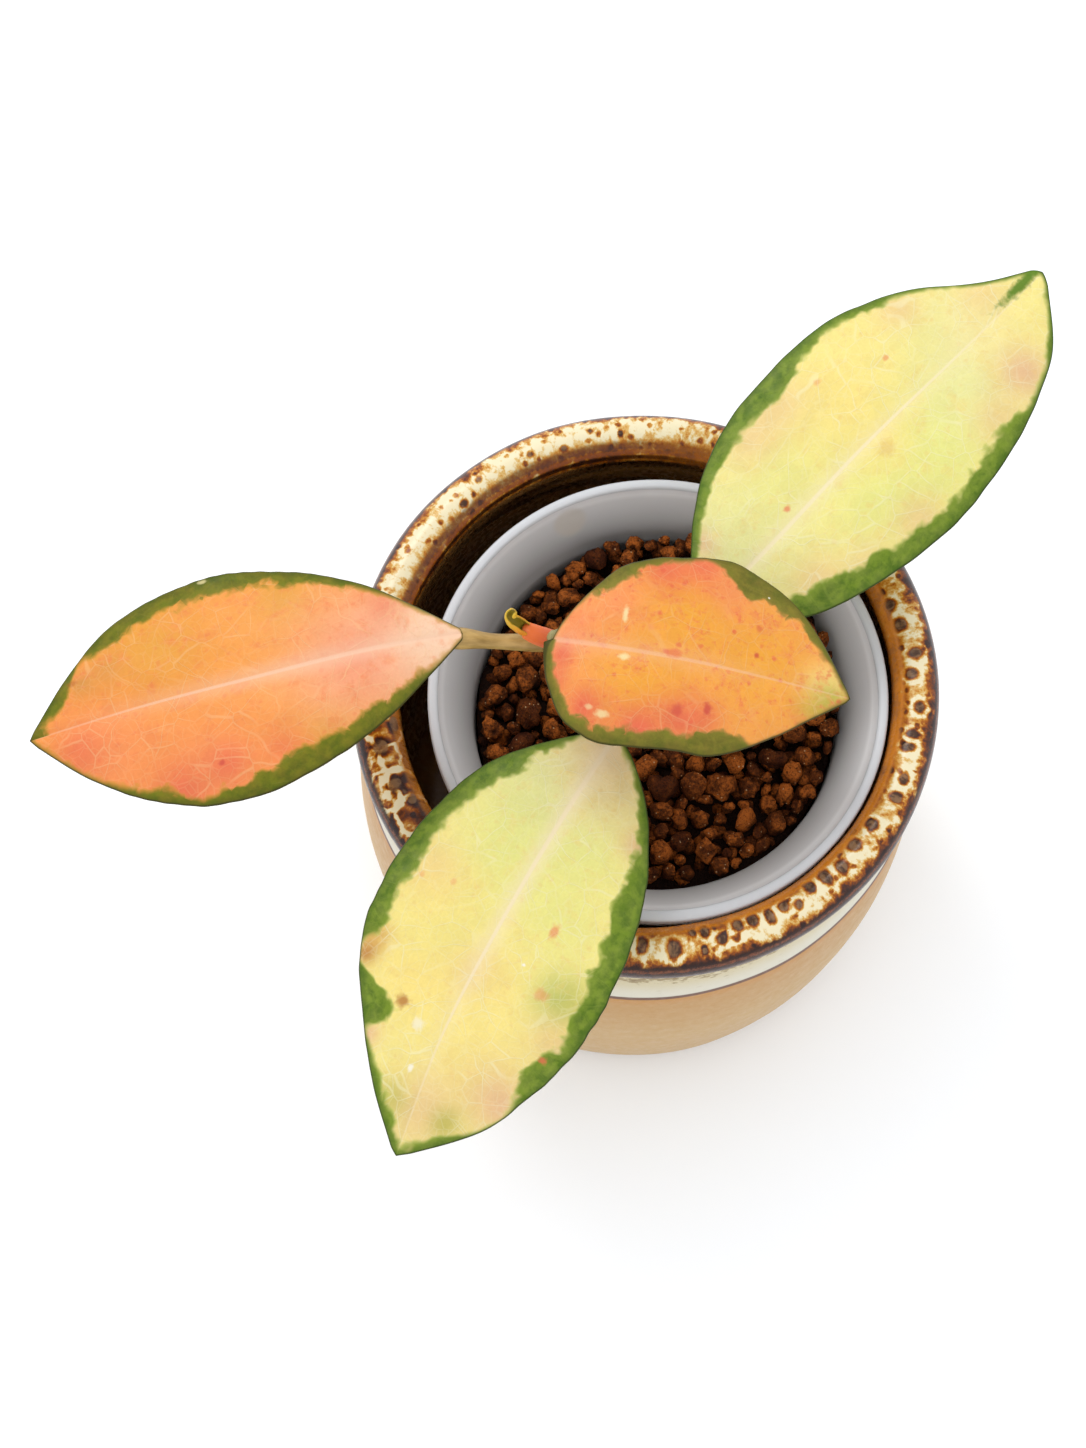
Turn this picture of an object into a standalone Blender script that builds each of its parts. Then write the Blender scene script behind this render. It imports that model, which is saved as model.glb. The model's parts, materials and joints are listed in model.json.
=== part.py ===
"""Potted hoya: two pairs of variegated leaves on a short stem, rooted in baked-clay granules in
a pale plastic nursery pot, which stands inside a glazed stoneware cachepot.

Metres, +Z up. The origin is the centre of the cachepot's flat foot, and the lowest leaf hangs
out over the front, towards -Y.
"""

import math
import random
from dataclasses import dataclass

import bmesh
import bpy
import numpy as np
from mathutils import Euler, Matrix, Vector

GAP = 0.0003  # clearance between pieces that touch
AXIS_MERGE = 0.00001
TURN_STEPS = 56

# Cachepot: a rolled rim over a barrel body with a flat, unglazed foot
RIM_HEIGHT = 0.1000  # middle of the rolled rim
RIM_RADIUS = 0.0529
RIM_HALF_WIDTH = 0.0046
RIM_HALF_HEIGHT = 0.0052
NECK_RADIUS = 0.0529
BELLY_PULL = 0.0626  # middle control radius of the body's outer curve
FOOT_RADIUS = 0.0531
FOOT_ROUNDING = 0.0060
CACHEPOT_WALL = 0.0050
CACHEPOT_FLOOR = 0.0060
NECK_HEIGHT = 0.0930  # where the body starts below the rim
INNER_WALL_START = 0.0220  # first ring of the inner wall above the floor's rounding

# Nursery pot: thin plastic with a flat lip, leaning against the cachepot's right front
LIP_RADIUS = 0.0450
LIP_HEIGHT = 0.1020
LIP_WIDTH = 0.0020
LIP_DROP = 0.0032
LIP_EDGE = 0.0005  # rounding of the lip's outer edge
FLARE_HEIGHTS = (0.0940, 0.0975)
MIDDLE_HEIGHT = 0.0500
PLASTIC_WALL = 0.0010
PLASTIC_FLOOR = 0.0014
SHOULDER_RADIUS = 0.0362  # inner wall at the level of the granules
SHOULDER_HEIGHT = 0.0900
NURSERY_FOOT_RADIUS = 0.0300
NURSERY_OFFSET = (0.0025, -0.0015)
DRAIN_HOLES = 6
DRAIN_RADIUS = 0.0028
DRAIN_CIRCLE = 0.0200

# Substrate: a packed core with granules sunk into its top
CORE_TOP = 0.0880
GRANULE_SEED = 11
GRANULE_RADII = (0.0034, 0.0030, 0.0026, 0.0023, 0.0019)
GRANULE_TRIES = (60, 300, 900, 1500, 1500)
GRANULE_SPACING = 0.84  # of the sum of two radii
GRANULE_RISE = (0.05, 0.25)  # how far the middle stands above the core, in radii
GRANULE_ROUGHNESS = 0.14
GRANULE_FLATNESS = (0.80, 1.0)

# Stem: upright in the granules, then bent over to the upper node
STEM_RADIUS = 0.00165
STEM_BURIED = 0.0250
STEM_CLEARANCE = 0.00045  # round the stem in its plain hole
STEM_UPRIGHT = 0.0110  # straight stretch above the granules
STEM_RINGS = 22
STEM_FOOT = Vector((0.0050, 0.0020, CORE_TOP))
LOWER_NODE = Vector((0.0025, 0.0012, 0.1155))
STEM_ELBOW = Vector((-0.0035, 0.0006, 0.1217))
UPPER_NODE = Vector((-0.0175, -0.0005, 0.1285))
NODE_RADIUS = 0.0029
STALK_RADIUS = 0.00155
STALK_SAG = 0.0004

# Leaves
BLADE_THICKNESS = 0.0012
STATIONS = (0.0, 0.08, 0.20, 0.35, 0.50, 0.65, 0.80, 0.90, 1.0)
BLADE_ROWS = 20
BLADE_COLUMNS = 8
TIP_CROWDING = 0.6  # share of the rows' spacing that closes up towards base and tip
WAVE_SHIFT = 0.3  # of a wave, between the left and the right margin
RIB_REACH = 0.80  # how far the stalk runs on as the rib under the blade
RIB_RINGS = 8
RIB_TAPER = 0.75
RIB_DEPTH = 0.45  # of the blade's thickness, from its face to the rib's top


@dataclass(frozen=True)
class Leaf:
    """One leaf in metres: its midrib, and its half-widths at STATIONS on both sides of it."""

    name: str
    node: Vector  # where the stalk leaves the stem
    midrib: tuple  # base to tip
    left: tuple  # half-widths left of the way from base to tip
    right: tuple
    colour: tuple
    droop: float = 0.0020  # how far the margins bend down
    fold: float = 0.0008  # how far the halves rise from the midrib first
    wave: float = 0.0007
    waves: float = 2.5
    lobe: float = 0.0  # how far the base's right margin sweeps back past the stalk
    rib_start: float = 0.03  # where the stalk meets the blade


LEAVES = (
    Leaf(
        name="leaf_left",
        node=UPPER_NODE,
        midrib=(
            (-0.0353, -0.0011, 0.1345),
            (-0.0530, -0.0055, 0.1360),
            (-0.0731, -0.0110, 0.1345),
            (-0.0944, -0.0165, 0.1310),
            (-0.1151, -0.0222, 0.1255),
        ),
        left=(0.0020, 0.0063, 0.0119, 0.0177, 0.0213, 0.0211, 0.0163, 0.0098, 0.0005),
        right=(0.0018, 0.0063, 0.0120, 0.0184, 0.0215, 0.0212, 0.0170, 0.0098, 0.0005),
        colour=(0.93, 0.42, 0.20, 1.0),
    ),
    Leaf(
        name="leaf_centre",
        node=UPPER_NODE,
        midrib=(
            (-0.0185, -0.0028, 0.1380),
            (-0.0076, -0.0042, 0.1390),
            (0.0077, -0.0058, 0.1370),
            (0.0216, -0.0073, 0.1330),
            (0.0374, -0.0092, 0.1280),
        ),
        left=(0.0016, 0.0078, 0.0146, 0.0190, 0.0211, 0.0207, 0.0166, 0.0098, 0.0005),
        right=(0.0050, 0.0130, 0.0173, 0.0179, 0.0171, 0.0159, 0.0106, 0.0056, 0.0005),
        colour=(0.94, 0.48, 0.17, 1.0),
        lobe=0.0016,
        waves=3.5,
        rib_start=0.12,
    ),
    Leaf(
        name="leaf_back",
        node=LOWER_NODE,
        midrib=(
            (0.0076, 0.0076, 0.1185),
            (0.0212, 0.0215, 0.1215),
            (0.0400, 0.0427, 0.1250),
            (0.0577, 0.0612, 0.1270),
            (0.0747, 0.0801, 0.1260),
        ),
        left=(0.0015, 0.0063, 0.0147, 0.0222, 0.0240, 0.0227, 0.0164, 0.0076, 0.0012),
        right=(0.0015, 0.0056, 0.0138, 0.0200, 0.0229, 0.0214, 0.0168, 0.0118, 0.0012),
        colour=(0.76, 0.76, 0.28, 1.0),
        waves=2.0,
    ),
    Leaf(
        name="leaf_front",
        node=LOWER_NODE,
        midrib=(
            (-0.0057, -0.0141, 0.1170),
            (-0.0163, -0.0327, 0.1175),
            (-0.0270, -0.0530, 0.1165),
            (-0.0364, -0.0726, 0.1135),
            (-0.0441, -0.0945, 0.1085),
        ),
        left=(0.0018, 0.0100, 0.0174, 0.0226, 0.0244, 0.0236, 0.0194, 0.0135, 0.0006),
        right=(0.0020, 0.0090, 0.0175, 0.0225, 0.0237, 0.0218, 0.0140, 0.0080, 0.0006),
        colour=(0.78, 0.76, 0.30, 1.0),
    ),
)

# Young shoot: a red-orange sheath and the curled leaf at its end
SHEATH_ROUTE = (
    UPPER_NODE + Vector((-0.0006, 0.0000, 0.0032)),
    Vector((-0.0196, -0.0008, 0.1339)),
    Vector((-0.0220, -0.0012, 0.1362)),
    Vector((-0.0242, -0.0011, 0.1378)),
)
SHEATH_RADII = (0.0009, 0.0015, 0.0019, 0.0020)
CURL_ROUTE = (
    Vector((-0.0246, -0.0011, 0.1382)),
    Vector((-0.0260, -0.0008, 0.1396)),
    Vector((-0.0268, -0.0001, 0.1408)),
    Vector((-0.0264, 0.0009, 0.1415)),
)
CURL_RADII = (0.0014, 0.0012, 0.0009, 0.0006)

STONEWARE = (0.68, 0.46, 0.25, 1.0)
PLASTIC = (0.60, 0.62, 0.65, 1.0)
CLAY = (0.20, 0.075, 0.025, 1.0)
STEM_GREEN = (0.36, 0.30, 0.10, 1.0)
SHEATH_RED = (0.88, 0.22, 0.07, 1.0)
CURL_YELLOW = (0.80, 0.52, 0.06, 1.0)


def clear_scene():
    """Remove the objects that a new file starts with."""
    for obj in list(bpy.data.objects):
        bpy.data.objects.remove(obj)


def new_collection(name):
    collection = bpy.data.collections.new(name)
    bpy.context.scene.collection.children.link(collection)
    return collection


def principled(name, colour, roughness, metallic=0.0):
    material = bpy.data.materials.new(name)
    material.use_nodes = True
    shader = material.node_tree.nodes["Principled BSDF"]
    shader.inputs["Base Color"].default_value = colour
    shader.inputs["Roughness"].default_value = roughness
    shader.inputs["Metallic"].default_value = metallic
    return material


def add_mesh_object(name, mesh, collection, material=None):
    obj = bpy.data.objects.new(name, mesh)
    collection.objects.link(obj)
    if material:
        mesh.materials.append(material)
    return obj


def as_helper(obj):
    """Keep a cutter or a guide out of the model."""
    obj.hide_render = True
    obj.display_type = "WIRE"
    return obj


def mesh_from_bmesh(name, shape):
    mesh = bpy.data.meshes.new(name)
    shape.to_mesh(mesh)
    shape.free()
    return mesh


def apply_modifiers(obj):
    """Give the object its evaluated mesh, with no modifiers left."""
    graph = bpy.context.evaluated_depsgraph_get()
    mesh = bpy.data.meshes.new_from_object(obj.evaluated_get(graph))
    obj.modifiers.clear()
    old = obj.data
    obj.data = mesh
    bpy.data.meshes.remove(old)


def remove_objects(objects):
    for obj in list(objects):
        data = obj.data
        bpy.data.objects.remove(obj)
        if isinstance(data, bpy.types.Mesh):
            bpy.data.meshes.remove(data)


def join_by_boolean(obj, operation, collection, solver="EXACT"):
    """Run one Boolean of the object against a whole collection, and apply it."""
    boolean = obj.modifiers.new(operation.title(), "BOOLEAN")
    boolean.operation = operation
    boolean.operand_type = "COLLECTION"
    boolean.collection = collection
    boolean.solver = solver
    apply_modifiers(obj)
    remove_objects(collection.objects)


def shade(obj, angle_degrees=35):
    obj.data.shade_smooth()
    obj.data.set_sharp_from_angle(angle=math.radians(angle_degrees))


def turned(name, profile, collection, material=None):
    """A profile of (radius, height) points turned about Z. It runs down the outer side."""
    shape = bmesh.new()
    points = [shape.verts.new((radius, 0.0, height)) for radius, height in profile]
    for first, second in zip(points, points[1:]):
        shape.edges.new((first, second))
    obj = add_mesh_object(name, mesh_from_bmesh(name, shape), collection, material)
    screw = obj.modifiers.new("Turn", "SCREW")
    screw.steps = TURN_STEPS
    screw.render_steps = TURN_STEPS
    screw.use_merge_vertices = True
    screw.merge_threshold = AXIS_MERGE
    apply_modifiers(obj)
    return obj


def arc(centre, half_width, half_height, start_degrees, end_degrees, steps):
    """Points on an ellipse in the profile plane."""
    points = []
    for step in range(steps + 1):
        angle = math.radians(start_degrees + (end_degrees - start_degrees) * step / steps)
        points.append(
            (centre[0] + half_width * math.cos(angle), centre[1] + half_height * math.sin(angle))
        )
    return points


def body_radius(height):
    """Outer radius of the cachepot's body: a quadratic curve from the neck to the foot."""
    down = (RIM_HEIGHT - height) / RIM_HEIGHT
    return (
        (1 - down) ** 2 * NECK_RADIUS
        + 2 * down * (1 - down) * BELLY_PULL
        + down**2 * FOOT_RADIUS
    )


def cachepot_profile():
    inner_foot = body_radius(CACHEPOT_FLOOR) - CACHEPOT_WALL
    inner_corner = (inner_foot - FOOT_ROUNDING, CACHEPOT_FLOOR + FOOT_ROUNDING)
    profile = [(0.0, CACHEPOT_FLOOR)]
    profile += arc(inner_corner, FOOT_ROUNDING, FOOT_ROUNDING, -90, 0, 4)
    for height in np.linspace(INNER_WALL_START, NECK_HEIGHT, 4):
        profile.append((body_radius(height) - CACHEPOT_WALL, float(height)))
    profile += arc((RIM_RADIUS, RIM_HEIGHT), RIM_HALF_WIDTH, RIM_HALF_HEIGHT, 205, -55, 10)
    for height in np.linspace(NECK_HEIGHT, FOOT_ROUNDING, 8):
        profile.append((body_radius(height), float(height)))
    outer_corner = (body_radius(FOOT_ROUNDING) - FOOT_ROUNDING, FOOT_ROUNDING)
    profile += arc(outer_corner, FOOT_ROUNDING, FOOT_ROUNDING, -22.5, -90, 3)
    profile.append((0.0, 0.0))
    return profile


def nursery_inner(height):
    """Inner radius of the nursery pot: a straight taper, then a flare above the granules."""
    floor = CACHEPOT_FLOOR + GAP + PLASTIC_FLOOR
    if height <= SHOULDER_HEIGHT:
        share = (height - floor) / (SHOULDER_HEIGHT - floor)
        return NURSERY_FOOT_RADIUS + (SHOULDER_RADIUS - NURSERY_FOOT_RADIUS) * share
    share = (height - SHOULDER_HEIGHT) / (LIP_HEIGHT - SHOULDER_HEIGHT)
    throat = LIP_RADIUS - LIP_WIDTH
    return SHOULDER_RADIUS + (throat - SHOULDER_RADIUS) * math.sin(share * math.pi / 2)


def nursery_profile():
    base = CACHEPOT_FLOOR + GAP
    floor = base + PLASTIC_FLOOR
    skirt = LIP_HEIGHT - LIP_DROP
    profile = [(0.0, floor)]
    for height in (floor, MIDDLE_HEIGHT, SHOULDER_HEIGHT, *FLARE_HEIGHTS, LIP_HEIGHT):
        profile.append((nursery_inner(height), height))
    profile += [(LIP_RADIUS - LIP_EDGE, LIP_HEIGHT), (LIP_RADIUS, LIP_HEIGHT - LIP_EDGE)]
    profile.append((LIP_RADIUS, skirt))
    for height in (skirt, FLARE_HEIGHTS[0], SHOULDER_HEIGHT, MIDDLE_HEIGHT, base):
        profile.append((nursery_inner(height) + PLASTIC_WALL, height))
    profile.append((0.0, base))
    return profile


def make_cachepot(parts):
    stoneware = principled("glazed stoneware", STONEWARE, 0.25)
    shade(turned("cachepot", cachepot_profile(), parts, stoneware))


def make_nursery_pot(parts, helpers):
    plastic = principled("pale grey plastic", PLASTIC, 0.45)
    pot = turned("nursery_pot", nursery_profile(), parts, plastic)
    for step in range(DRAIN_HOLES):
        angle = 2 * math.pi * step / DRAIN_HOLES
        shape = bmesh.new()
        bmesh.ops.create_cone(
            shape,
            cap_ends=True,
            segments=16,
            radius1=DRAIN_RADIUS,
            radius2=DRAIN_RADIUS,
            depth=4 * PLASTIC_FLOOR,
        )
        centre = (DRAIN_CIRCLE * math.cos(angle), DRAIN_CIRCLE * math.sin(angle), CACHEPOT_FLOOR)
        bmesh.ops.translate(shape, verts=shape.verts, vec=centre)
        mesh = mesh_from_bmesh("drain cutter", shape)
        as_helper(add_mesh_object("drain_cutter", mesh, helpers))
    join_by_boolean(pot, "DIFFERENCE", helpers)
    pot.location = (*NURSERY_OFFSET, 0.0)
    shade(pot)


def granule_places(draw):
    """Discs packed at random on the top of the core, large ones first."""
    reach = nursery_inner(CORE_TOP) - GAP
    places = []
    for radius, tries in zip(GRANULE_RADII, GRANULE_TRIES):
        for _ in range(tries):
            out = math.sqrt(draw.random()) * (reach - radius * (1 + GRANULE_ROUGHNESS))
            turn = draw.random() * 2 * math.pi
            spot = Vector((out * math.cos(turn), out * math.sin(turn), 0.0))
            if all(
                (spot - other).length > GRANULE_SPACING * (radius + size)
                for other, size in places
            ):
                places.append((spot, radius))
    return places


def make_granule(draw, spot, radius, helpers):
    """A lumpy stone with twenty faces, sunk into the core's top."""
    shape = bmesh.new()
    bmesh.ops.create_icosphere(shape, subdivisions=1, radius=radius)
    for vert in shape.verts:
        vert.co *= 1 + draw.uniform(-GRANULE_ROUGHNESS, GRANULE_ROUGHNESS) / 2
    flatness = [draw.uniform(*GRANULE_FLATNESS) for _ in range(2)]
    turn = Euler([draw.uniform(0, 2 * math.pi) for _ in range(3)]).to_matrix().to_4x4()
    shape.transform(Matrix.Diagonal((1.0, *flatness)).to_4x4() @ turn)
    centre = spot + Vector((0, 0, CORE_TOP + radius * draw.uniform(*GRANULE_RISE)))
    bmesh.ops.translate(shape, verts=shape.verts, vec=centre)
    as_helper(add_mesh_object("granule", mesh_from_bmesh("granule", shape), helpers))


def make_substrate(parts, helpers):
    draw = random.Random(GRANULE_SEED)
    clay = principled("baked clay", CLAY, 0.8)
    bottom = CACHEPOT_FLOOR + 2 * GAP + PLASTIC_FLOOR
    profile = [(0.0, CORE_TOP), (nursery_inner(CORE_TOP) - GAP, CORE_TOP)]
    profile += [(nursery_inner(bottom) - GAP, bottom), (0.0, bottom)]
    core = turned("substrate", profile, parts, clay)
    for spot, radius in granule_places(draw):
        make_granule(draw, spot, radius, helpers)
    join_by_boolean(core, "UNION", helpers, solver="MANIFOLD")
    hole = bmesh.new()
    bmesh.ops.create_cone(
        hole,
        cap_ends=True,
        segments=16,
        radius1=STEM_RADIUS + STEM_CLEARANCE,
        radius2=STEM_RADIUS + STEM_CLEARANCE,
        depth=2 * (STEM_BURIED + GAP),
    )
    bmesh.ops.translate(hole, verts=hole.verts, vec=STEM_FOOT - Vector((*NURSERY_OFFSET, 0.0)))
    as_helper(add_mesh_object("stem_hole", mesh_from_bmesh("stem hole", hole), helpers))
    join_by_boolean(core, "DIFFERENCE", helpers, solver="MANIFOLD")
    core.location = (*NURSERY_OFFSET, 0.0)
    shade(core)


def smooth_through(stations, values, at):
    """A cubic through the values whose slope at each is that of its neighbours' chord."""
    stations = np.asarray(stations, float)
    values = np.asarray(values, float)
    slopes = np.gradient(values, stations, axis=0)
    index = np.clip(np.searchsorted(stations, at, side="right") - 1, 0, len(stations) - 2)
    width = stations[index + 1] - stations[index]
    share = (at - stations[index]) / width
    if values.ndim == 2:
        width = width[:, None]
        share = share[:, None]
    start, end = values[index], values[index + 1]
    return (
        (2 * share**3 - 3 * share**2 + 1) * start
        + (share**3 - 2 * share**2 + share) * width * slopes[index]
        + (-2 * share**3 + 3 * share**2) * end
        + (share**3 - share**2) * width * slopes[index + 1]
    )


def midrib_frame(leaf, along):
    """Points, directions, sideways and upward vectors of the midrib at the given shares."""
    knots = np.linspace(0, 1, len(leaf.midrib))
    points = smooth_through(knots, leaf.midrib, along)
    ahead = smooth_through(knots, leaf.midrib, np.minimum(along + 0.01, 1))
    behind = smooth_through(knots, leaf.midrib, np.maximum(along - 0.01, 0))
    forward = ahead - behind
    forward /= np.linalg.norm(forward, axis=1)[:, None]
    side = np.cross((0, 0, 1), forward)
    side /= np.linalg.norm(side, axis=1)[:, None]
    return points, forward, side, np.cross(forward, side)


def blade_object(leaf, parts, material):
    """The blade: a waved sheet between its two margins, triangulated and then thickened."""
    even = np.linspace(0, 1, BLADE_ROWS + 1)
    crowded = 0.5 - 0.5 * np.cos(math.pi * even)
    along = (1 - TIP_CROWDING) * even + TIP_CROWDING * crowded
    across = np.linspace(-1, 1, BLADE_COLUMNS + 1)
    points, forward, side, up = midrib_frame(leaf, along)
    left = smooth_through(STATIONS, leaf.left, along)[:, None]
    right = smooth_through(STATIONS, leaf.right, along)[:, None]
    out = across[None, :] * np.where(across > 0, left, right)
    share = np.abs(across)[None, :]
    fullness = (np.abs(out) / max(leaf.left)) / np.maximum(share, 0.01)
    rise = leaf.fold * np.sin(share * math.pi) - leaf.droop * share**2
    shift = WAVE_SHIFT / 2 * np.sign(across)[None, :]
    phase = 2 * math.pi * (leaf.waves * along[:, None] + shift)
    lift = fullness * (rise + leaf.wave * np.sin(phase) * share**3)
    back = -leaf.lobe * share * (across < 0)[None, :] * (1 - along[:, None]) ** 8
    grid = (
        points[:, None]
        + side[:, None] * out[..., None]
        + up[:, None] * lift[..., None]
        + forward[:, None] * back[..., None]
    )
    shape = bmesh.new()
    rows = [[shape.verts.new(point) for point in row] for row in grid]
    for row in range(BLADE_ROWS):
        for column in range(BLADE_COLUMNS):
            near, far = rows[row][column], rows[row + 1][column]
            far_left, near_left = rows[row + 1][column + 1], rows[row][column + 1]
            shape.faces.new((near, far, far_left))
            shape.faces.new((near, far_left, near_left))
    obj = add_mesh_object(leaf.name, mesh_from_bmesh(leaf.name, shape), parts, material)
    solidify = obj.modifiers.new("Thickness", "SOLIDIFY")
    solidify.thickness = BLADE_THICKNESS
    solidify.offset = -1.0
    apply_modifiers(obj)
    return obj


def tube_object(name, route, radii, collection, material=None):
    """A round tube along a route of points, each with its own radius, made a mesh."""
    curve = bpy.data.curves.new(name, "CURVE")
    curve.dimensions = "3D"
    curve.bevel_depth = 1.0
    curve.bevel_resolution = 2
    curve.use_fill_caps = True
    spline = curve.splines.new("POLY")
    spline.points.add(len(route) - 1)
    for point, place, radius in zip(spline.points, route, radii):
        point.co = (*place, 1.0)
        point.radius = radius
    guide = bpy.data.objects.new(name + " guide", curve)
    collection.objects.link(guide)
    graph = bpy.context.evaluated_depsgraph_get()
    mesh = bpy.data.meshes.new_from_object(guide.evaluated_get(graph))
    bpy.data.objects.remove(guide)
    shape = bmesh.new()
    shape.from_mesh(mesh)
    bpy.data.meshes.remove(mesh)
    bmesh.ops.remove_doubles(shape, verts=shape.verts, dist=AXIS_MERGE)
    bmesh.ops.recalc_face_normals(shape, faces=shape.faces)
    return add_mesh_object(name, mesh_from_bmesh(name, shape), collection, material)


def make_leaf(leaf, parts, helpers):
    """The blade with its stalk, which runs on as the rib under the blade."""
    waxy = principled(leaf.name.replace("_", " ") + " blade", leaf.colour, 0.42)
    blade = blade_object(leaf, parts, waxy)
    along = np.linspace(leaf.rib_start, RIB_REACH, RIB_RINGS)
    points, _, _, up = midrib_frame(leaf, along)
    rib_radii = STALK_RADIUS * (1 - RIB_TAPER * along)
    rib = points - up * (RIB_DEPTH * BLADE_THICKNESS + rib_radii)[:, None]
    first = Vector(rib[0])
    away = (first - leaf.node).normalized()
    start = leaf.node + away * (NODE_RADIUS + GAP)
    middle = (start + first) / 2 - Vector((0, 0, STALK_SAG))
    route = [start, middle, *[Vector(point) for point in rib]]
    radii = [STALK_RADIUS, STALK_RADIUS, *rib_radii]
    as_helper(tube_object("stalk", route, radii, helpers))
    join_by_boolean(blade, "UNION", helpers)
    shade(blade)


def make_stem(parts, helpers):
    bark = principled("olive stem", STEM_GREEN, 0.5)
    foot = STEM_FOOT - Vector((0, 0, STEM_BURIED))
    bend = STEM_FOOT + Vector((0, 0, STEM_UPRIGHT))
    knots = [foot, STEM_FOOT, bend, LOWER_NODE, STEM_ELBOW, UPPER_NODE]
    knots = np.array([tuple(knot) for knot in knots])
    steps = np.concatenate([[0], np.cumsum(np.linalg.norm(np.diff(knots, axis=0), axis=1))])
    at = np.linspace(0, steps[-1], STEM_RINGS)
    route = smooth_through(steps, knots, at)
    route[at < steps[1], :2] = tuple(STEM_FOOT)[:2]
    stem = tube_object("stem", route, [STEM_RADIUS] * len(route), parts, bark)
    for node in (LOWER_NODE, UPPER_NODE):
        shape = bmesh.new()
        bmesh.ops.create_uvsphere(shape, u_segments=14, v_segments=9, radius=NODE_RADIUS)
        bmesh.ops.translate(shape, verts=shape.verts, vec=node)
        as_helper(add_mesh_object("node", mesh_from_bmesh("node", shape), helpers))
    join_by_boolean(stem, "UNION", helpers)
    shade(stem)


def make_shoot(parts):
    red = principled("red young shoot", SHEATH_RED, 0.4)
    yellow = principled("yellow young leaf", CURL_YELLOW, 0.4)
    shade(tube_object("shoot_stem", SHEATH_ROUTE, SHEATH_RADII, parts, red))
    shade(tube_object("shoot_leaf", CURL_ROUTE, CURL_RADII, parts, yellow))


def main():
    clear_scene()
    parts = new_collection("potted hoya")
    helpers = new_collection("helpers")
    make_cachepot(parts)
    make_nursery_pot(parts, helpers)
    make_substrate(parts, helpers)
    make_stem(parts, helpers)
    for leaf in LEAVES:
        make_leaf(leaf, parts, helpers)
    make_shoot(parts)


main()
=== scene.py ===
"""Potted hoya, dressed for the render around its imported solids.

A hoya cutting with four variegated leaves stands in baked-clay granules in a pale plastic pot,
inside a glazed stoneware cachepot. Metres, +Z up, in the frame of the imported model. Surface
patterns work in millimetres, so their sizes read as the real ones.
"""

import json
import logging
import math
from dataclasses import dataclass
from enum import Enum
from functools import reduce
from typing import Any

import bpy
import numpy as np
from mathutils import Euler, Matrix

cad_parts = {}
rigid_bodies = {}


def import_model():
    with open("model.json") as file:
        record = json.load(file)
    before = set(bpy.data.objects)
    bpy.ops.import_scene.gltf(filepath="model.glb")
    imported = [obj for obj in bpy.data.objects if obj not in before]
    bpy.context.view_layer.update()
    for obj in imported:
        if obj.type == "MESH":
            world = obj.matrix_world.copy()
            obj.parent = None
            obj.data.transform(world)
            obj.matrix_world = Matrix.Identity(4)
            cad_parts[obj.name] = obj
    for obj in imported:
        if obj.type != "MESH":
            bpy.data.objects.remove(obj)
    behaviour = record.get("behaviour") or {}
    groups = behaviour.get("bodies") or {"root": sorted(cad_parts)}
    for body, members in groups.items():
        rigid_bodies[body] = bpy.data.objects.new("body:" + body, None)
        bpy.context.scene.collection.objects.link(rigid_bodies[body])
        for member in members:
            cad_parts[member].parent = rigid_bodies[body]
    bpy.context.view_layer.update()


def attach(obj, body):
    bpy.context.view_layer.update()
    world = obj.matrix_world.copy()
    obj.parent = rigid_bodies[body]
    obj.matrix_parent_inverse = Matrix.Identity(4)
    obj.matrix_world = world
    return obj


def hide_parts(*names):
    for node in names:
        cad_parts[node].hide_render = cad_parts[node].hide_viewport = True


LOG = logging.getLogger("potted hoya")
MM = 0.001
BODY = "root"
LIGHT_SHARE = 0.68  # what a lit surface needs of the colour that is seen, in this bright studio
NOISE_RANGE = (0.3, 0.7)  # where most values of a noise lie
UP = (0.0, 0.0, 1.0)

Shade = tuple[float, float, float, float]
Array = np.ndarray


def tone(red: float, green: float, blue: float) -> Shade:
    """Turn the colour to be seen, of 0 to 255, into the linear colour that a shader takes.

    Args:
        red: Red share.
        green: Green share.
        blue: Blue share.

    Returns:
        The linear colour with full alpha.
    """
    values = [channel / 255 for channel in (red, green, blue)]
    linear = [
        value / 12.92 if value <= 0.04045 else ((value + 0.055) / 1.055) ** 2.4
        for value in values
    ]
    return (*(LIGHT_SHARE * value for value in linear), 1.0)


def smooth_through(stations: Any, values: Any, at: Array) -> Array:
    """Carry a cubic through the values, whose slope at each is that of its neighbours' chord.

    Args:
        stations: Places of the known values, rising.
        values: A number or a point for each station.
        at: Places to read.

    Returns:
        The curve's numbers or points at those places.
    """
    stations = np.asarray(stations, float)
    values = np.asarray(values, float)
    slopes = np.gradient(values, stations, axis=0)
    index = np.clip(np.searchsorted(stations, at, side="right") - 1, 0, len(stations) - 2)
    width = stations[index + 1] - stations[index]
    share = (at - stations[index]) / width
    if values.ndim == 2:
        width, share = width[:, None], share[:, None]
    start, end = values[index], values[index + 1]
    return (
        (2 * share**3 - 3 * share**2 + 1) * start
        + (share**3 - 2 * share**2 + share) * width * slopes[index]
        + (-2 * share**3 + 3 * share**2) * end
        + (share**3 - share**2) * width * slopes[index + 1]
    )


def unit(vectors: Array) -> Array:
    """Scale vectors to a length of one."""
    return vectors / np.maximum(np.linalg.norm(vectors, axis=-1, keepdims=True), 1e-12)


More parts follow.
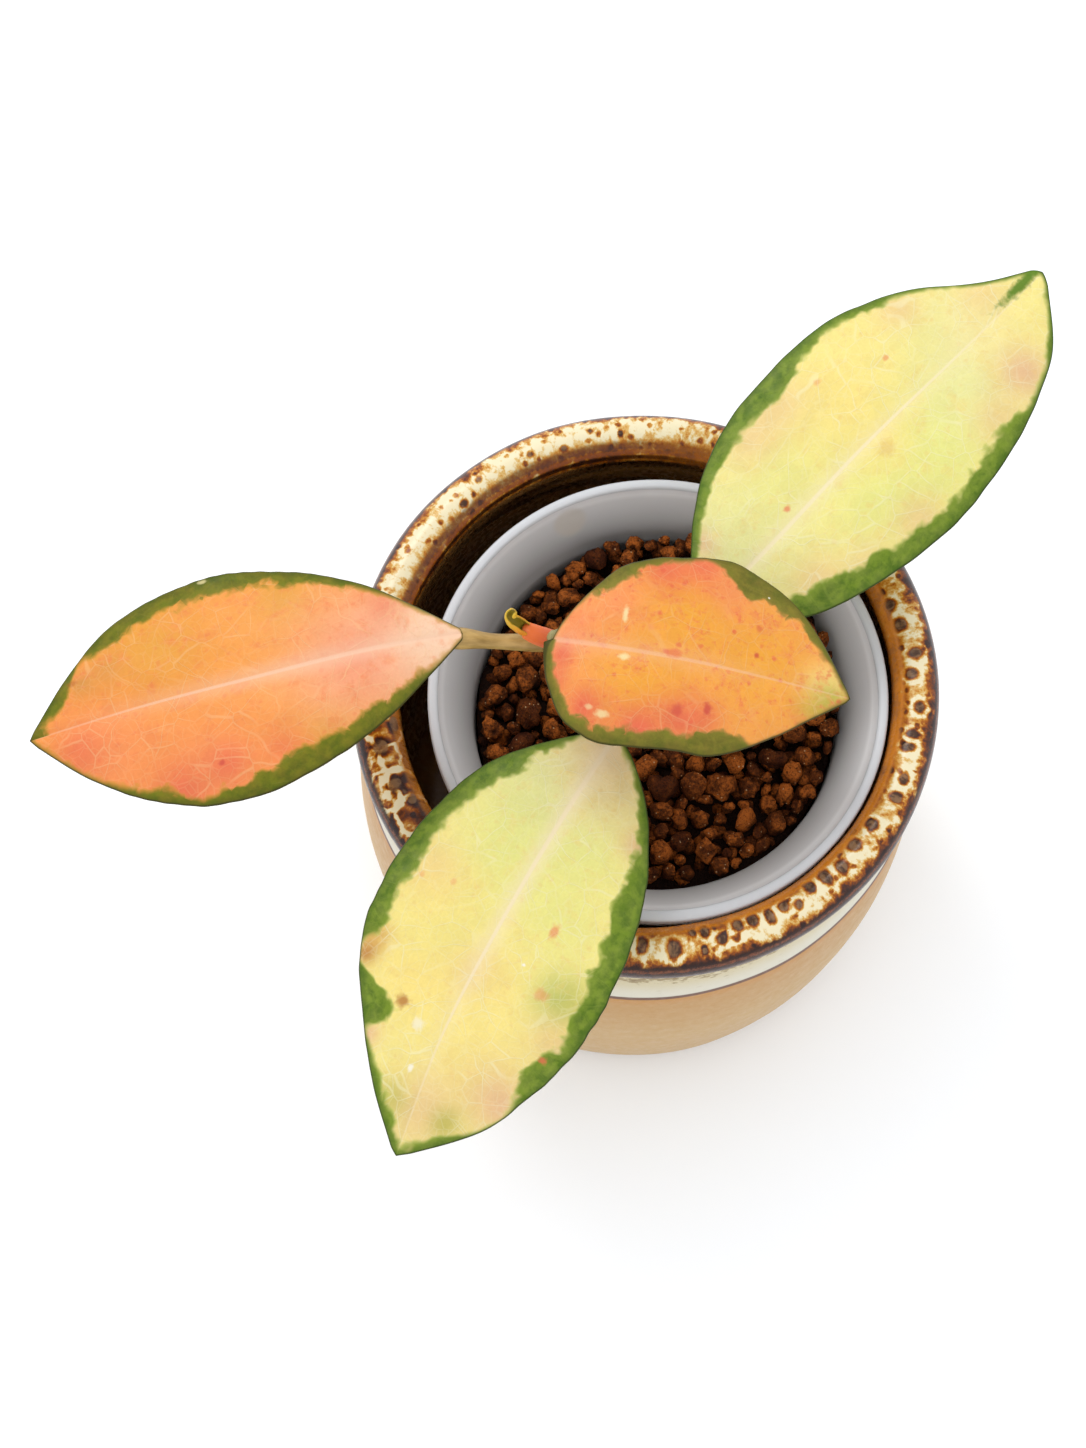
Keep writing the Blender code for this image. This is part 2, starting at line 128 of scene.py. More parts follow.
def ripple(points: Array, seed: int, size: float, waves: int = 7) -> Array:
    """Lay a smooth random relief over points: the mean of sines with random directions.

    Args:
        points: Points, with the last axis of any length, in the unit of size.
        seed: Seed of the waves' directions and phases.
        size: Rough length of one wave.
        waves: How many sines are added.

    Returns:
        A number between about -1 and 1 for each point.
    """
    draw = np.random.default_rng(seed)
    total = np.zeros(points.shape[:-1])
    for _ in range(waves):
        way = unit(draw.normal(size=points.shape[-1])) * draw.uniform(0.6, 1.6)
        total += np.sin(2 * np.pi * (points @ way) / size + draw.uniform(0, 2 * np.pi))
    return total / math.sqrt(waves)


def bell(value: Any, middle: float, width: float) -> Any:
    """Give a soft bump: e to the minus square of the distance from the middle, in widths."""
    return np.exp(-(((value - middle) / width) ** 2))


def round_end(share: Array, least: float) -> Array:
    """Close a width on a quarter circle: the root of 1 - (1 - share) squared, at least so much."""
    return np.sqrt(np.clip(1 - (1 - np.clip(share, 0, 1)) ** 2, least, 1))


def full_turn(count: int) -> Array:
    """Give evenly spaced angles once round, in radians."""
    return np.linspace(0, 2 * np.pi, count, endpoint=False)


def run_along(points: Array) -> Array:
    """Give how far from the first each point lies, along the line through all of them."""
    steps = np.linalg.norm(np.diff(points, axis=0), axis=1)
    return np.concatenate([[0.0], np.cumsum(steps)])


def stacked(*values: Any) -> Array:
    """Spread numbers over one shape and stack them as the parts of vectors."""
    return np.stack(np.broadcast_arrays(*values), axis=-1)


def axis_poles(first: float, last: float,
               offset: tuple[float, float] = (0.0, 0.0)) -> tuple[Array, Array]:
    """Give the poles of a turned profile: points on its axis, at the heights of its ends."""
    return np.array([[*offset, first]]), np.array([[*offset, last]])


def closed_mesh(name: str, rings: Array, poles: tuple[Array, Array],
                data: dict[str, Any] | None = None) -> bpy.types.Mesh:
    """Skin rings of points, each closed on itself, into one closed surface that faces outwards.

    Quads join each ring to the next, and a fan closes each end on its pole. The signed volume,
    which is the sum of each quad's dot and cross products, says whether the faces must be
    turned round.

    Args:
        name: Name of the mesh.
        rings: Points as rings x columns x 3.
        poles: The end points, before the first ring and after the last.
        data: What the material reads: vectors (rings x columns x 3), or numbers of any shape
            that spreads over rings x columns.

    Returns:
        The mesh, with smooth shading and one attribute for each entry of data.
    """
    rows, columns = rings.shape[:2]
    index = np.arange(rows * columns).reshape(rows, columns)
    aside = np.roll(index, -1, axis=1)
    quads = stacked(index[:-1], aside[:-1], aside[1:], index[1:]).reshape(-1, 4)
    fans = np.vstack([stacked(aside[0], index[0], rows * columns),
                      stacked(index[-1], aside[-1], rows * columns + 1)])
    points = np.vstack([rings.reshape(-1, 3), *poles])
    corners = points[quads]
    volume = sum((corners[:, 0] * np.cross(corners[:, k], corners[:, k + 1])).sum() for k in (1, 2))
    if volume <= 0:
        quads, fans = quads[:, ::-1], fans[:, ::-1]
    mesh = plain_mesh(name, points.tolist(), quads.tolist() + fans.tolist())
    for label, values in (data or {}).items():
        values = np.asarray(values, float)
        if values.ndim < 3:
            values = np.broadcast_to(values, (rows, columns))
        ends = [values[row].reshape(columns, -1).mean(0) for row in (0, -1)]
        add_data(mesh, label, np.vstack([values.reshape(rows * columns, -1), *ends]))
    mesh.shade_smooth()
    return mesh


def add_data(mesh: bpy.types.Mesh, label: str, values: Array) -> None:
    """Store numbers, or vectors of three, on a mesh's points for its material to read."""
    values = np.ascontiguousarray(values, dtype=np.float32)
    if values.ndim == 1 or values.shape[1] == 1:
        layer = mesh.attributes.new(label, "FLOAT", "POINT")
        layer.data.foreach_set("value", values.ravel())
    else:
        layer = mesh.attributes.new(label, "FLOAT_VECTOR", "POINT")
        layer.data.foreach_set("vector", values.ravel())


def plain_mesh(name: str, points: list[Any], faces: list[Any]) -> bpy.types.Mesh:
    """Make a mesh of points and faces."""
    mesh = bpy.data.meshes.new(name)
    mesh.from_pydata(points, [], faces)
    mesh.update()
    return mesh


def new_object(name: str, data: Any) -> bpy.types.Object:
    """Add an object to the scene, at the origin."""
    made = bpy.data.objects.new(name, data)
    bpy.context.scene.collection.objects.link(made)
    return made


def standing(place: Array, right: Array, up: Array, back: Array) -> Matrix:
    """Give the placement of a lamp or camera, which looks the way opposite to its back."""
    turn = Matrix(np.column_stack([right, up, back]).tolist()).to_4x4()
    return Matrix.Translation(place) @ turn


def add_piece(mesh: bpy.types.Mesh, finish: bpy.types.Material, slot: str,
              *stands_for: str) -> None:
    """Add a finished piece at the origin, riding on the root body.

    Args:
        mesh: The piece's mesh, which also gives its name.
        finish: Its material.
        slot: The record's material slot; not used.
        *stands_for: CAD nodes that the piece replaces.
    """
    piece = new_object(mesh.name, mesh)
    mesh.materials.append(finish)
    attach(piece, BODY)
    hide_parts(*stands_for)
    LOG.info("%s: %d faces", piece.name, len(mesh.polygons))


def path_frame(path: Array, reference: tuple[float, float, float]) -> tuple[Array, Array, Array]:
    """Give the forward, side and upward vectors along a path.

    Args:
        path: Points of the path.
        reference: A direction that the path never runs along; side is at right angles to it.

    Returns:
        Forward, side and upward unit vectors at each point.
    """
    forward = unit(np.gradient(path, axis=0))
    side = unit(np.cross(reference, forward))
    return forward, side, np.cross(forward, side)


def swept(path: Array, side: Array, up: Array, across: Array, rise: Array) -> Array:
    """Give rings about a path, by how far each point lies to the side of it and above it."""
    return path[:, None] + side[:, None] * across[..., None] + up[:, None] * rise[..., None]


def evenly(values: tuple[float, ...], share: Array) -> Array:
    """Read numbers that stand evenly over 0 to 1, straight from one to the next."""
    return np.interp(share, np.linspace(0, 1, len(values)), values)


def resample(path: Array, count: int) -> tuple[Array, Array]:
    """Space points evenly along a smooth curve through the given ones.

    Args:
        path: Knots of the curve.
        count: How many points to give.

    Returns:
        The points, and how far along the curve each one is.
    """
    places = run_along(path)
    at = np.linspace(0, places[-1], count)
    return smooth_through(places, path, at), at


def turned_rings(profile: Array, columns: int) -> Array:
    """Turn a profile of (radius, height) points about Z: x = r cos t, y = r sin t."""
    turn = full_turn(columns)
    radius, height = profile[:, :1], profile[:, 1:]
    return stacked(radius * np.cos(turn), radius * np.sin(turn), height)


def ellipse_arc(centre: tuple[float, float], half: tuple[float, float], span: tuple[float, float],
                count: int) -> Array:
    """Give points on an ellipse in the profile plane, between two angles in degrees."""
    angle = np.radians(np.linspace(*span, count))
    return stacked(centre[0] + half[0] * np.cos(angle), centre[1] + half[1] * np.sin(angle))


class Finish:
    """A material under construction. Each call adds a node and gives its output."""

    def __init__(self, name: str, roughness: float) -> None:
        """Start a material with a plain principled shader."""
        self.material = bpy.data.materials.new(name)
        self.material.use_nodes = True
        self.tree = self.material.node_tree
        self.shader = self.tree.nodes["Principled BSDF"]
        self.shader.inputs["Roughness"].default_value = roughness

    def node(self, kind: str, settings: dict[str, Any] | None = None,
             inputs: dict[Any, Any] | None = None) -> bpy.types.Node:
        """Add a node with its settings, and link or set its inputs."""
        made = self.tree.nodes.new(kind)
        for name, value in (settings or {}).items():
            setattr(made, name, value)
        for name, value in (inputs or {}).items():
            self.put(made.inputs[name], value)
        return made

    def put(self, socket: bpy.types.NodeSocket, value: Any) -> None:
        """Link an output to a socket, or set a plain value on it."""
        if isinstance(value, bpy.types.NodeSocket):
            self.tree.links.new(value, socket)
        else:
            socket.default_value = value

    def number(self, label: str) -> bpy.types.NodeSocket:
        """Read a number stored on the piece's points."""
        return self.node("ShaderNodeAttribute", {"attribute_name": label}).outputs["Fac"]

    def vector(self, label: str) -> bpy.types.NodeSocket:
        """Read a vector stored on the piece's points."""
        return self.node("ShaderNodeAttribute", {"attribute_name": label}).outputs["Vector"]

    def place(self) -> bpy.types.NodeSocket:
        """Give the point's place in the object in millimetres."""
        coordinates = self.node("ShaderNodeTexCoord").outputs["Object"]
        return self.vmath("SCALE", coordinates, scale=1 / MM)

    def vmath(self, operation: str, first: Any, second: Any = None, scale: Any = None) -> Any:
        """Work on vectors. Gives the vector, or the number for a length, dot or distance."""
        made = self.node("ShaderNodeVectorMath", {"operation": operation}, {0: first})
        if second is not None:
            self.put(made.inputs[1], second)
        if scale is not None:
            self.put(made.inputs["Scale"], scale)
        numbers = ("LENGTH", "DOT_PRODUCT", "DISTANCE")
        return made.outputs["Value" if operation in numbers else "Vector"]

    def parts(self, vector: Any) -> tuple[Any, Any, Any]:
        """Split a vector or a colour into its three numbers."""
        made = self.node("ShaderNodeSeparateXYZ", None, {0: vector})
        return made.outputs[0], made.outputs[1], made.outputs[2]

    def join(self, first: Any, second: Any, third: Any) -> Any:
        """Join three numbers into a vector."""
        return self.node("ShaderNodeCombineXYZ", None, {0: first, 1: second, 2: third}).outputs[0]

    def math(self, operation: str, first: Any, second: Any = 0.0) -> Any:
        """Work on numbers."""
        inputs = {0: first, 1: second}
        return self.node("ShaderNodeMath", {"operation": operation}, inputs).outputs[0]

    def add(self, *values: Any) -> Any:
        """Add numbers up."""
        return reduce(lambda total, value: self.math("ADD", total, value), values)

    def times(self, *values: Any) -> Any:
        """Multiply numbers."""
        return reduce(lambda total, value: self.math("MULTIPLY", total, value), values)

    def stretch(self, vector: Any, factors: tuple[float, float, float]) -> Any:
        """Multiply each part of a vector, so that a pattern on it runs shorter or longer."""
        return self.vmath("MULTIPLY", vector, factors)

    def step(self, value: Any, start: float, end: float, low: float = 0.0, high: float = 1.0,
             kind: str = "SMOOTHSTEP") -> Any:
        """Ease from low to high while the value goes from start to end."""
        ends = {"Value": value, "From Min": start, "From Max": end, "To Min": low, "To Max": high}
        return self.node("ShaderNodeMapRange", {"interpolation_type": kind}, ends).outputs[0]

    def line(self, value: Any, start: float, end: float, low: float = 0.0,
             high: float = 1.0) -> Any:
        """Go straight from low to high while the value goes from start to end."""
        return self.step(value, start, end, low, high, "LINEAR")

    def swing(self, noise: Any, low: float, high: float) -> Any:
        """Spread a noise over low to high."""
        return self.line(noise, *NOISE_RANGE, low, high)

    def window(self, value: Any, rise: tuple[float, float], fall: tuple[float, float],
               *shares: Any) -> Any:
        """Give 1 between two soft ends of a value, times any shares."""
        return self.times(self.step(value, *rise), self.step(value, *fall), *shares)

    def noise(self, vector: Any, size: float, detail: float = 2.0, roughness: float = 0.5) -> Any:
        """Read a soft noise whose features are about size long."""
        inputs = {"Vector": vector, "Scale": 1 / size, "Detail": detail, "Roughness": roughness}
        return self.node("ShaderNodeTexNoise", None, inputs).outputs[0]

    def drift(self, vector: Any, size: float, amount: float) -> Any:
        """Push a vector about by a noise, so that a pattern on it wanders."""
        inputs = {"Vector": vector, "Scale": 1 / size, "Detail": 2.0}
        noise = self.node("ShaderNodeTexNoise", None, inputs)
        centred = self.vmath("SUBTRACT", noise.outputs["Color"], (0.5, 0.5, 0.5))
        return self.vmath("ADD", vector, self.vmath("SCALE", centred, scale=2 * amount))

    def edges(self, vector: Any, size: float) -> Any:
        """Give the distance to the nearest border between cells, in shares of a cell."""
        inputs, settings = {"Vector": vector, "Scale": 1 / size}, {"feature": "DISTANCE_TO_EDGE"}
        return self.node("ShaderNodeTexVoronoi", settings, inputs).outputs["Distance"]

    def cells(self, vector: Any, size: float) -> tuple[Any, Any]:
        """Give the distance to the nearest cell's middle, and a random number for the cell."""
        made = self.node("ShaderNodeTexVoronoi", None, {"Vector": vector, "Scale": 1 / size})
        return made.outputs["Distance"], self.parts(made.outputs["Color"])[0]

    def specks(self, vector: Any, size: float, fade: tuple[float, float],
               chosen: tuple[float, float], *shares: Any) -> Any:
        """Scatter dots: they fade out from the middles of cells chosen by their random number."""
        away, chance = self.cells(vector, size)
        return self.times(self.step(away, *fade), self.step(chance, *chosen), *shares)

    def mix(self, share: Any, first: Any, second: Any) -> Any:
        """Blend two colours."""
        inputs = {0: share, 6: first, 7: second}
        return self.node("ShaderNodeMix", {"data_type": "RGBA"}, inputs).outputs[2]

    def lay(self, colour: Any, shade: Any, value: Any, start: float, end: float,
            most: float = 1.0) -> Any:
        """Lay a shade over a colour, up to a share, while the value goes from start to end."""
        return self.mix(self.step(value, start, end, 0.0, most), colour, shade)

    def ramp(self, value: Any, stops: list[tuple[float, Shade]]) -> Any:
        """Read a colour from a list of stops."""
        made = self.node("ShaderNodeValToRGB", None, {0: value})
        elements = made.color_ramp.elements
        while len(elements) < len(stops):
            elements.new(0.5)
        for element, (place, shade) in zip(elements, stops):
            element.position = place
            element.color = shade
        return made.outputs[0]

    def relief(self, height: Any, depth: float, below: Any = None) -> Any:
        """Bump the surface by a height of 0 to 1, which is depth millimetres deep."""
        inputs = {"Height": height, "Distance": depth * MM, "Strength": 1.0}
        if below is not None:
            inputs["Normal"] = below
        return self.node("ShaderNodeBump", None, inputs).outputs[0]

    def done(self, colour: Any, roughness: Any = None, normal: Any = None,
             **uniform: float) -> bpy.types.Material:
        """Wire the shader and give the material.

        Args:
            colour: Base colour.
            roughness: Roughness, if it varies.
            normal: Output of a bump node.
            **uniform: Values that are the same all over, with spaces written as underscores.

        Returns:
            The finished material.
        """
        self.put(self.shader.inputs["Base Color"], colour)
        if roughness is not None:
            self.put(self.shader.inputs["Roughness"], roughness)
        if normal is not None:
            self.put(self.shader.inputs["Normal"], normal)
        for name, value in uniform.items():
            self.shader.inputs[name.replace("_", " ")].default_value = value
        return self.material


# ---- Pots


@dataclass(frozen=True)
class RimGlaze:
    """Mottled glaze: cream where it lies thick, amber and dark brown where it thins or pools."""

    cream: Shade = tone(255, 243, 204)
    straw: Shade = tone(236, 196, 116)
    honey: Shade = tone(212, 142, 46)
    amber: Shade = tone(166, 86, 12)
    brown: Shade = tone(100, 46, 12)
    dark: Shade = tone(44, 16, 7)
    # plum: a tint of the rusty glaze, also the colour of the painted shadows under the rim
    plum: Shade = tone(92, 62, 58)
    # painted highlight: the copper lines on the rim's edges
    copper_highlight: Shade = tone(168, 92, 50)
    # amber of the glaze, brightened as painted light in the gap under the plastic lip
    amber_painted_light: Shade = tone(230, 142, 40)
    pool_grey: Shade = tone(152, 116, 82)
    pool_dark: Shade = tone(80, 54, 38)
    band: Shade = tone(240, 234, 214)
    band_warm: Shade = tone(230, 214, 170)
    band_speck: Shade = tone(150, 122, 70)
    line_brown: Shade = tone(104, 62, 50)
    body_tan: Shade = tone(208, 160, 94)
    # painted light: the paler tan low on the body, lit by the white floor's bounce
    body_painted_bounce: Shade = tone(216, 178, 118)
    inside_dark: Shade = tone(84, 50, 22)
    # painted light: the brighter inside deep in the pot, against its shade
    inside_painted_light: Shade = tone(186, 128, 76)
    inside_streak: Shade = tone(214, 154, 84)

    def build(self) -> bpy.types.Material:
        """Paint the rim by its bead distance, then band, line and body by their height.

        The more rust adds up, from the rim's edges, noises, pools, cracks and pits, the
        darker the glaze is. Amber glaze, brightened by painted light against the shade of the gap
        under the plastic lip, fills the inner slope, and the pools have grey cores.
        """
        paint = Finish("mottled_glaze", 0.12)
        ring, bead = paint.vector("ring"), paint.number("bead")
        rear, pools = paint.number("rear"), paint.number("pools")
        height = paint.parts(paint.place())[2]
        flow = paint.drift(ring, 4.0, 0.9)
        cloud = paint.noise(flow, 6.0, 3.0, 0.55)
        mottle = paint.noise(paint.stretch(flow, (1.25, 1.25, 0.75)), 1.9, 4.0, 0.64)
        fine = paint.noise(ring, 0.6, 3.0, 0.6)
        wander = paint.add(bead, paint.swing(cloud, -1.1, 1.1), paint.swing(mottle, -0.5, 0.5))
        pit = paint.specks(paint.drift(ring, 2.0, 0.5), 2.1, (0.42, 0.16), (0.50, 0.66), 0.42)
        rust = paint.add(
            paint.step(wander, -0.6, -4.2, 0.0, 0.40), paint.step(wander, 1.2, 3.8, 0.0, 0.42),
            paint.line(rear, 0.0, 1.0, 0.20, 0.07), pools,
            paint.line(mottle, 0.28, 0.72, -0.22, 0.30),
            paint.swing(cloud, -0.14, 0.20), paint.swing(fine, -0.08, 0.08),
            paint.times(self.cracks(paint, ring), paint.number("crackle")), pit,
        )
        glaze = paint.ramp(rust, [
            (0.0, self.cream), (0.14, self.cream), (0.27, self.straw), (0.40, self.honey),
            (0.56, self.amber), (0.78, self.brown), (0.98, self.dark),
        ])
        # amber glaze with painted light, strongest at the front, over the shade of the gap
        amber_painted_light = paint.window(bead, (-2.4, -3.6), (-8.6, -7.0),
                            paint.line(rear, 0.0, 1.0, 0.85, 0.10), paint.step(mottle, 0.24, 0.48))
        glaze = paint.mix(amber_painted_light, glaze, self.amber_painted_light)
        plum = paint.times(paint.step(rust, 0.62, 0.80), paint.step(cloud, 0.42, 0.58), 0.30)
        glaze = paint.mix(plum, glaze, self.plum)
        core = paint.lay(self.pool_grey, self.pool_dark, mottle, 0.40, 0.60)
        glaze = paint.lay(glaze, core, pools, 0.32, 0.48, 0.80)
        glaze = self.lines(paint, glaze, bead, mottle, fine, rear)
        glaze = paint.lay(glaze, self.interior(paint, ring, height), bead, -7.6, -9.4)
        on_body = paint.times(paint.step(height, 94.3, 93.4), paint.step(bead, 6.0, 7.0))
        colour = paint.mix(on_body, glaze, self.body(paint, ring, height))
        gloss = paint.add(paint.swing(mottle, 0.20, 0.34), paint.times(on_body, 0.16))
        normal = paint.relief(paint.add(mottle, paint.times(rust, -0.5)), 0.09)
        return paint.done(colour, gloss, normal, Specular_IOR_Level=0.20, Coat_Weight=0.06,
                          Coat_Roughness=0.08)

    def cracks(self, paint: Finish, ring: Any) -> Any:
        """Split the glaze into brown fields between cream lines."""
        flow = paint.drift(ring, 3.5, 1.3)
        border = paint.edges(flow, 6.0)
        brown = paint.line(paint.cells(flow, 6.0)[1], 0.0, 1.0, 0.20, 0.46)
        return paint.add(paint.times(paint.step(border, 0.05, 0.16), brown),
                         paint.step(border, 0.10, 0.03, 0.0, -0.26))

    def lines(self, paint: Finish, glaze: Any, bead: Any, mottle: Any, fine: Any,
              rear: Any) -> Any:
        """Draw the dark edges.

        Outside they are a dark edge, partly painted shade of the rim's underside, a painted copper
        highlight and a painted plum shadow. Inside they are painted shade in the gap under the plastic
        lip and, at the rear, a plum streak over a painted copper highlight.
        """
        waver = paint.add(bead, paint.swing(mottle, -0.35, 0.35))
        # the dark outer edge: glaze that thins over the edge, and painted shade on the rim's underside
        glaze = paint.lay(glaze, self.dark, waver, 3.3, 4.3, 0.92)
        # painted highlight along the outer dark edge
        copper_highlight = paint.window(waver, (4.7, 5.2), (6.0, 5.5), paint.step(fine, 0.38, 0.6, 0.15, 0.55))
        glaze = paint.mix(copper_highlight, glaze, self.copper_highlight)
        glaze = paint.lay(glaze, self.plum, bead, 6.4, 7.4, 0.45)
        streak = paint.window(waver, (-2.0, -3.0), (-4.6, -3.9), rear, 0.62)
        glaze = paint.mix(streak, glaze, self.plum)
        # painted highlight along the inner edge, at the rear
        edge = paint.window(waver, (-4.2, -4.7), (-5.6, -5.2), rear, 0.75)
        glaze = paint.mix(edge, glaze, self.copper_highlight)
        # painted shade: a dark line on the rim's inner face, in the gap under the plastic lip
        groove = paint.window(bead, (-5.5, -6.1), (-7.6, -6.9),
                              paint.line(rear, 0.0, 1.0, 0.15, 0.92))
        return paint.mix(groove, glaze, self.dark)

    def interior(self, paint: Finish, ring: Any, height: Any) -> Any:
        """Streak the dark inside along the turning lines, with painted light that brightens it towards
        the floor against the shade deep in the pot.
        """
        bands = paint.noise(paint.stretch(ring, (0.05, 0.05, 0.30)), 2.0)
        # painted light: brighter further down, where the inside lies deepest in shade
        painted_light_ground = paint.lay(self.inside_dark, self.inside_painted_light, height, 90.0, 76.0)
        return paint.lay(painted_light_ground, self.inside_streak, bands, 0.36, 0.64, 0.9)

    def body(self, paint: Finish, ring: Any, height: Any) -> Any:
        """Lay the cream band, the brown line under it and the tan body, each with a soft edge, with
        painted light low on the body and a painted plum shadow under the rim.
        """
        level = paint.add(height, paint.swing(paint.noise(ring, 22.0, 1.0), -0.22, 0.22))
        streak = paint.noise(paint.stretch(ring, (0.06, 0.06, 0.6)), 2.4, 3.0)
        # painted light: the tan pales towards the foot, as the floor's bounce lights it
        tan = paint.lay(self.body_tan, self.body_painted_bounce, level, 72.0, 40.0)
        tan = paint.mix(paint.line(streak, 0.32, 0.68, 0.0, 0.30), tan, self.body_tan)
        tan = paint.lay(tan, self.honey, level, 69.5, 75.0, 0.55)
        speck = paint.specks(paint.stretch(ring, (0.6, 0.6, 1.0)), 1.5, (0.32, 0.14),
                             (0.70, 0.78), paint.step(level, 80.0, 86.0, 0.12, 0.8))
        band = paint.lay(self.band, self.band_warm, level, 78.0, 86.0, 0.85)
        band = paint.mix(speck, band, self.band_speck)
        stain = paint.add(paint.noise(paint.stretch(ring, (0.8, 0.8, 1.6)), 1.3, 4.0, 0.65),
                          paint.line(level, 82.8, 86.6, -0.16, 0.12))
        band = paint.lay(band, self.band_speck, stain, 0.54, 0.66, 0.75)
        colour = paint.lay(tan, band, level, 75.9, 76.5)
        edge = paint.math("ABSOLUTE", paint.add(level, -75.7))
        colour = paint.lay(colour, self.line_brown, edge, 1.1, 0.5, 0.92)
        # painted shadow: the rim's shade over the top of the cream band, in plum
        return paint.lay(colour, self.plum, level, 88.5, 91.5, 0.8)


@dataclass(frozen=True)
class GlazedCachepot:
    """The stoneware cachepot: a rolled rim over a barrel body, turned from one profile."""

    rim_height: float = 0.1000
    rim_radius: float = 0.0529
    rim_half: tuple[float, float] = (0.0046, 0.0052)
    rim_span: tuple[float, float] = (205.0, -55.0)
    neck_radius: float = 0.0529
    belly_pull: float = 0.0626
    foot_radius: float = 0.0531
    foot_rounding: float = 0.0060
    wall: float = 0.0050
    floor: float = 0.0060
    neck_height: float = 0.0930
    inner_wall_start: float = 0.0220
    columns: int = 640
    foot_ring: tuple[float, float] = (0.0390, 0.0415)
    foot_recess: float = 0.0012
    pools: tuple[tuple[float, float, float, float], ...] = (
        # angle in degrees, then bead distance, half-length and half-width in millimetres
        (270.5, -0.5, 0.9, 1.5), (277.0, 0.4, 1.2, 1.6), (281.5, -2.7, 0.7, 1.0),
        (284.0, -2.4, 0.8, 1.2), (283.2, 1.5, 0.5, 0.7), (287.3, 0.1, 1.0, 0.9),
        (291.2, -1.7, 0.9, 1.3), (290.0, 0.6, 0.9, 0.6), (294.6, -1.7, 1.0, 1.1),
        (298.4, -1.0, 0.8, 1.4), (302.0, -1.4, 1.1, 1.0), (304.6, -0.2, 0.9, 0.9),
        (309.0, -1.8, 0.9, 1.1), (313.0, -1.3, 1.1, 1.5), (317.0, -0.7, 1.1, 1.2),
        (322.5, -1.7, 1.2, 1.2), (328.5, -1.4, 1.0, 1.1), (336.0, 0.3, 1.0, 1.2),
        (340.5, 0.2, 1.1, 0.9), (347.5, -0.8, 0.9, 1.2), (350.5, -0.4, 0.8, 1.0),
        (356.5, 0.3, 1.0, 0.9), (4.0, -1.3, 1.0, 1.1), (8.5, -0.1, 1.0, 1.2),
        (15.5, -1.8, 1.1, 1.2), (20.5, -2.6, 1.0, 1.1), (196.5, 0.3, 1.5, 1.5),
        (205.5, -0.2, 1.6, 1.5), (209.0, -1.9, 1.5, 1.2), (191.5, -3.6, 1.6, 1.2),
        (103.5, 0.5, 0.5, 0.5), (97.0, -0.6, 0.6, 0.5), (117.5, -0.6, 0.6, 0.6),
        (130.0, 0.2, 0.6, 0.6), (110.0, -1.8, 0.7, 0.6), (136.0, -1.6, 0.9, 0.6),
    )
    pool_core: float = 0.60
    pool_halo: float = 0.26
    least_haloed: float = 0.75  # half-length in millimetres; shorter pools have no halo
    crackled: tuple[tuple[float, float, float], ...] = (
        # strength, then middle and width in degrees
        (1.25, 202, 32), (0.35, 270, 20),
    )
    rear: tuple[float, float, float] = (1.3, 128, 50)
    throwing: float = 0.00003  # relief of the turning lines on the body
    wobble: float = 0.00010  # how far the whole pot is out of round
    front_bulge: float = 0.0005
    bulge_turn: tuple[float, float] = (282, 26)
    bulge_bead: tuple[float, float] = (-6.4, 1.6)

    def body_radius(self, height: Any) -> Any:
        """Outer radius: a quadratic curve from the neck over the belly to the foot."""
        down = (self.rim_height - height) / self.rim_height
        return (
            (1 - down) ** 2 * self.neck_radius
            + 2 * down * (1 - down) * self.belly_pull
            + down**2 * self.foot_radius
        )

    def profile(self) -> tuple[Array, Array]:
        """Give the profile from the inner floor over the rim to the foot, and its bead distance.

        The bead distance runs along the profile from the rim's top: negative inwards.
        """
        round_ = self.foot_rounding
        inner_foot = self.body_radius(self.floor) - self.wall
        corner = (inner_foot - round_, self.floor + round_)
        inner = np.linspace(self.inner_wall_start, self.neck_height, 26)
        outer = np.linspace(self.neck_height, round_, 52)
        foot = (self.body_radius(round_) - round_, round_)
        rim = ellipse_arc((self.rim_radius, self.rim_height), self.rim_half, self.rim_span, 53)
        near, far = self.foot_ring
        points = np.vstack([
            [(0.012, self.floor)],
            [(0.030, self.floor)],
            ellipse_arc(corner, (round_, round_), (-90, 0), 8),
            stacked(self.body_radius(inner) - self.wall, inner),
            rim,
            stacked(self.body_radius(outer), outer)[1:],
            ellipse_arc(foot, (round_, round_), (-12, -90), 8),
            [(far + 0.001, 0.0), (far, 0.0002), (far - 0.0006, self.foot_recess)],
            [(near * 0.5, self.foot_recess)],
        ])
        along = run_along(points)
        crown = int(np.argmax(points[:, 1]))
        return points, (along - along[crown]) / MM

    def pool_depth(self, degrees: Array, bead: Array) -> Array:
        """Give the glaze's dark pools: a soft disc in the middle, less a pale ring around it."""
        depth = np.zeros((len(bead), len(degrees)))
        for angle, place, long, wide in self.pools:
            turn = (degrees - angle + 180) % 360 - 180
            round_ = np.radians(turn) * self.rim_radius / MM / long
            away = np.hypot(round_[None, :], ((bead - place) / wide)[:, None])
            depth += self.pool_core * np.exp(-((away / 1.25) ** 4))
            if long > self.least_haloed:
                depth -= self.pool_halo * bell(away, 1.9, 0.45)
        return depth

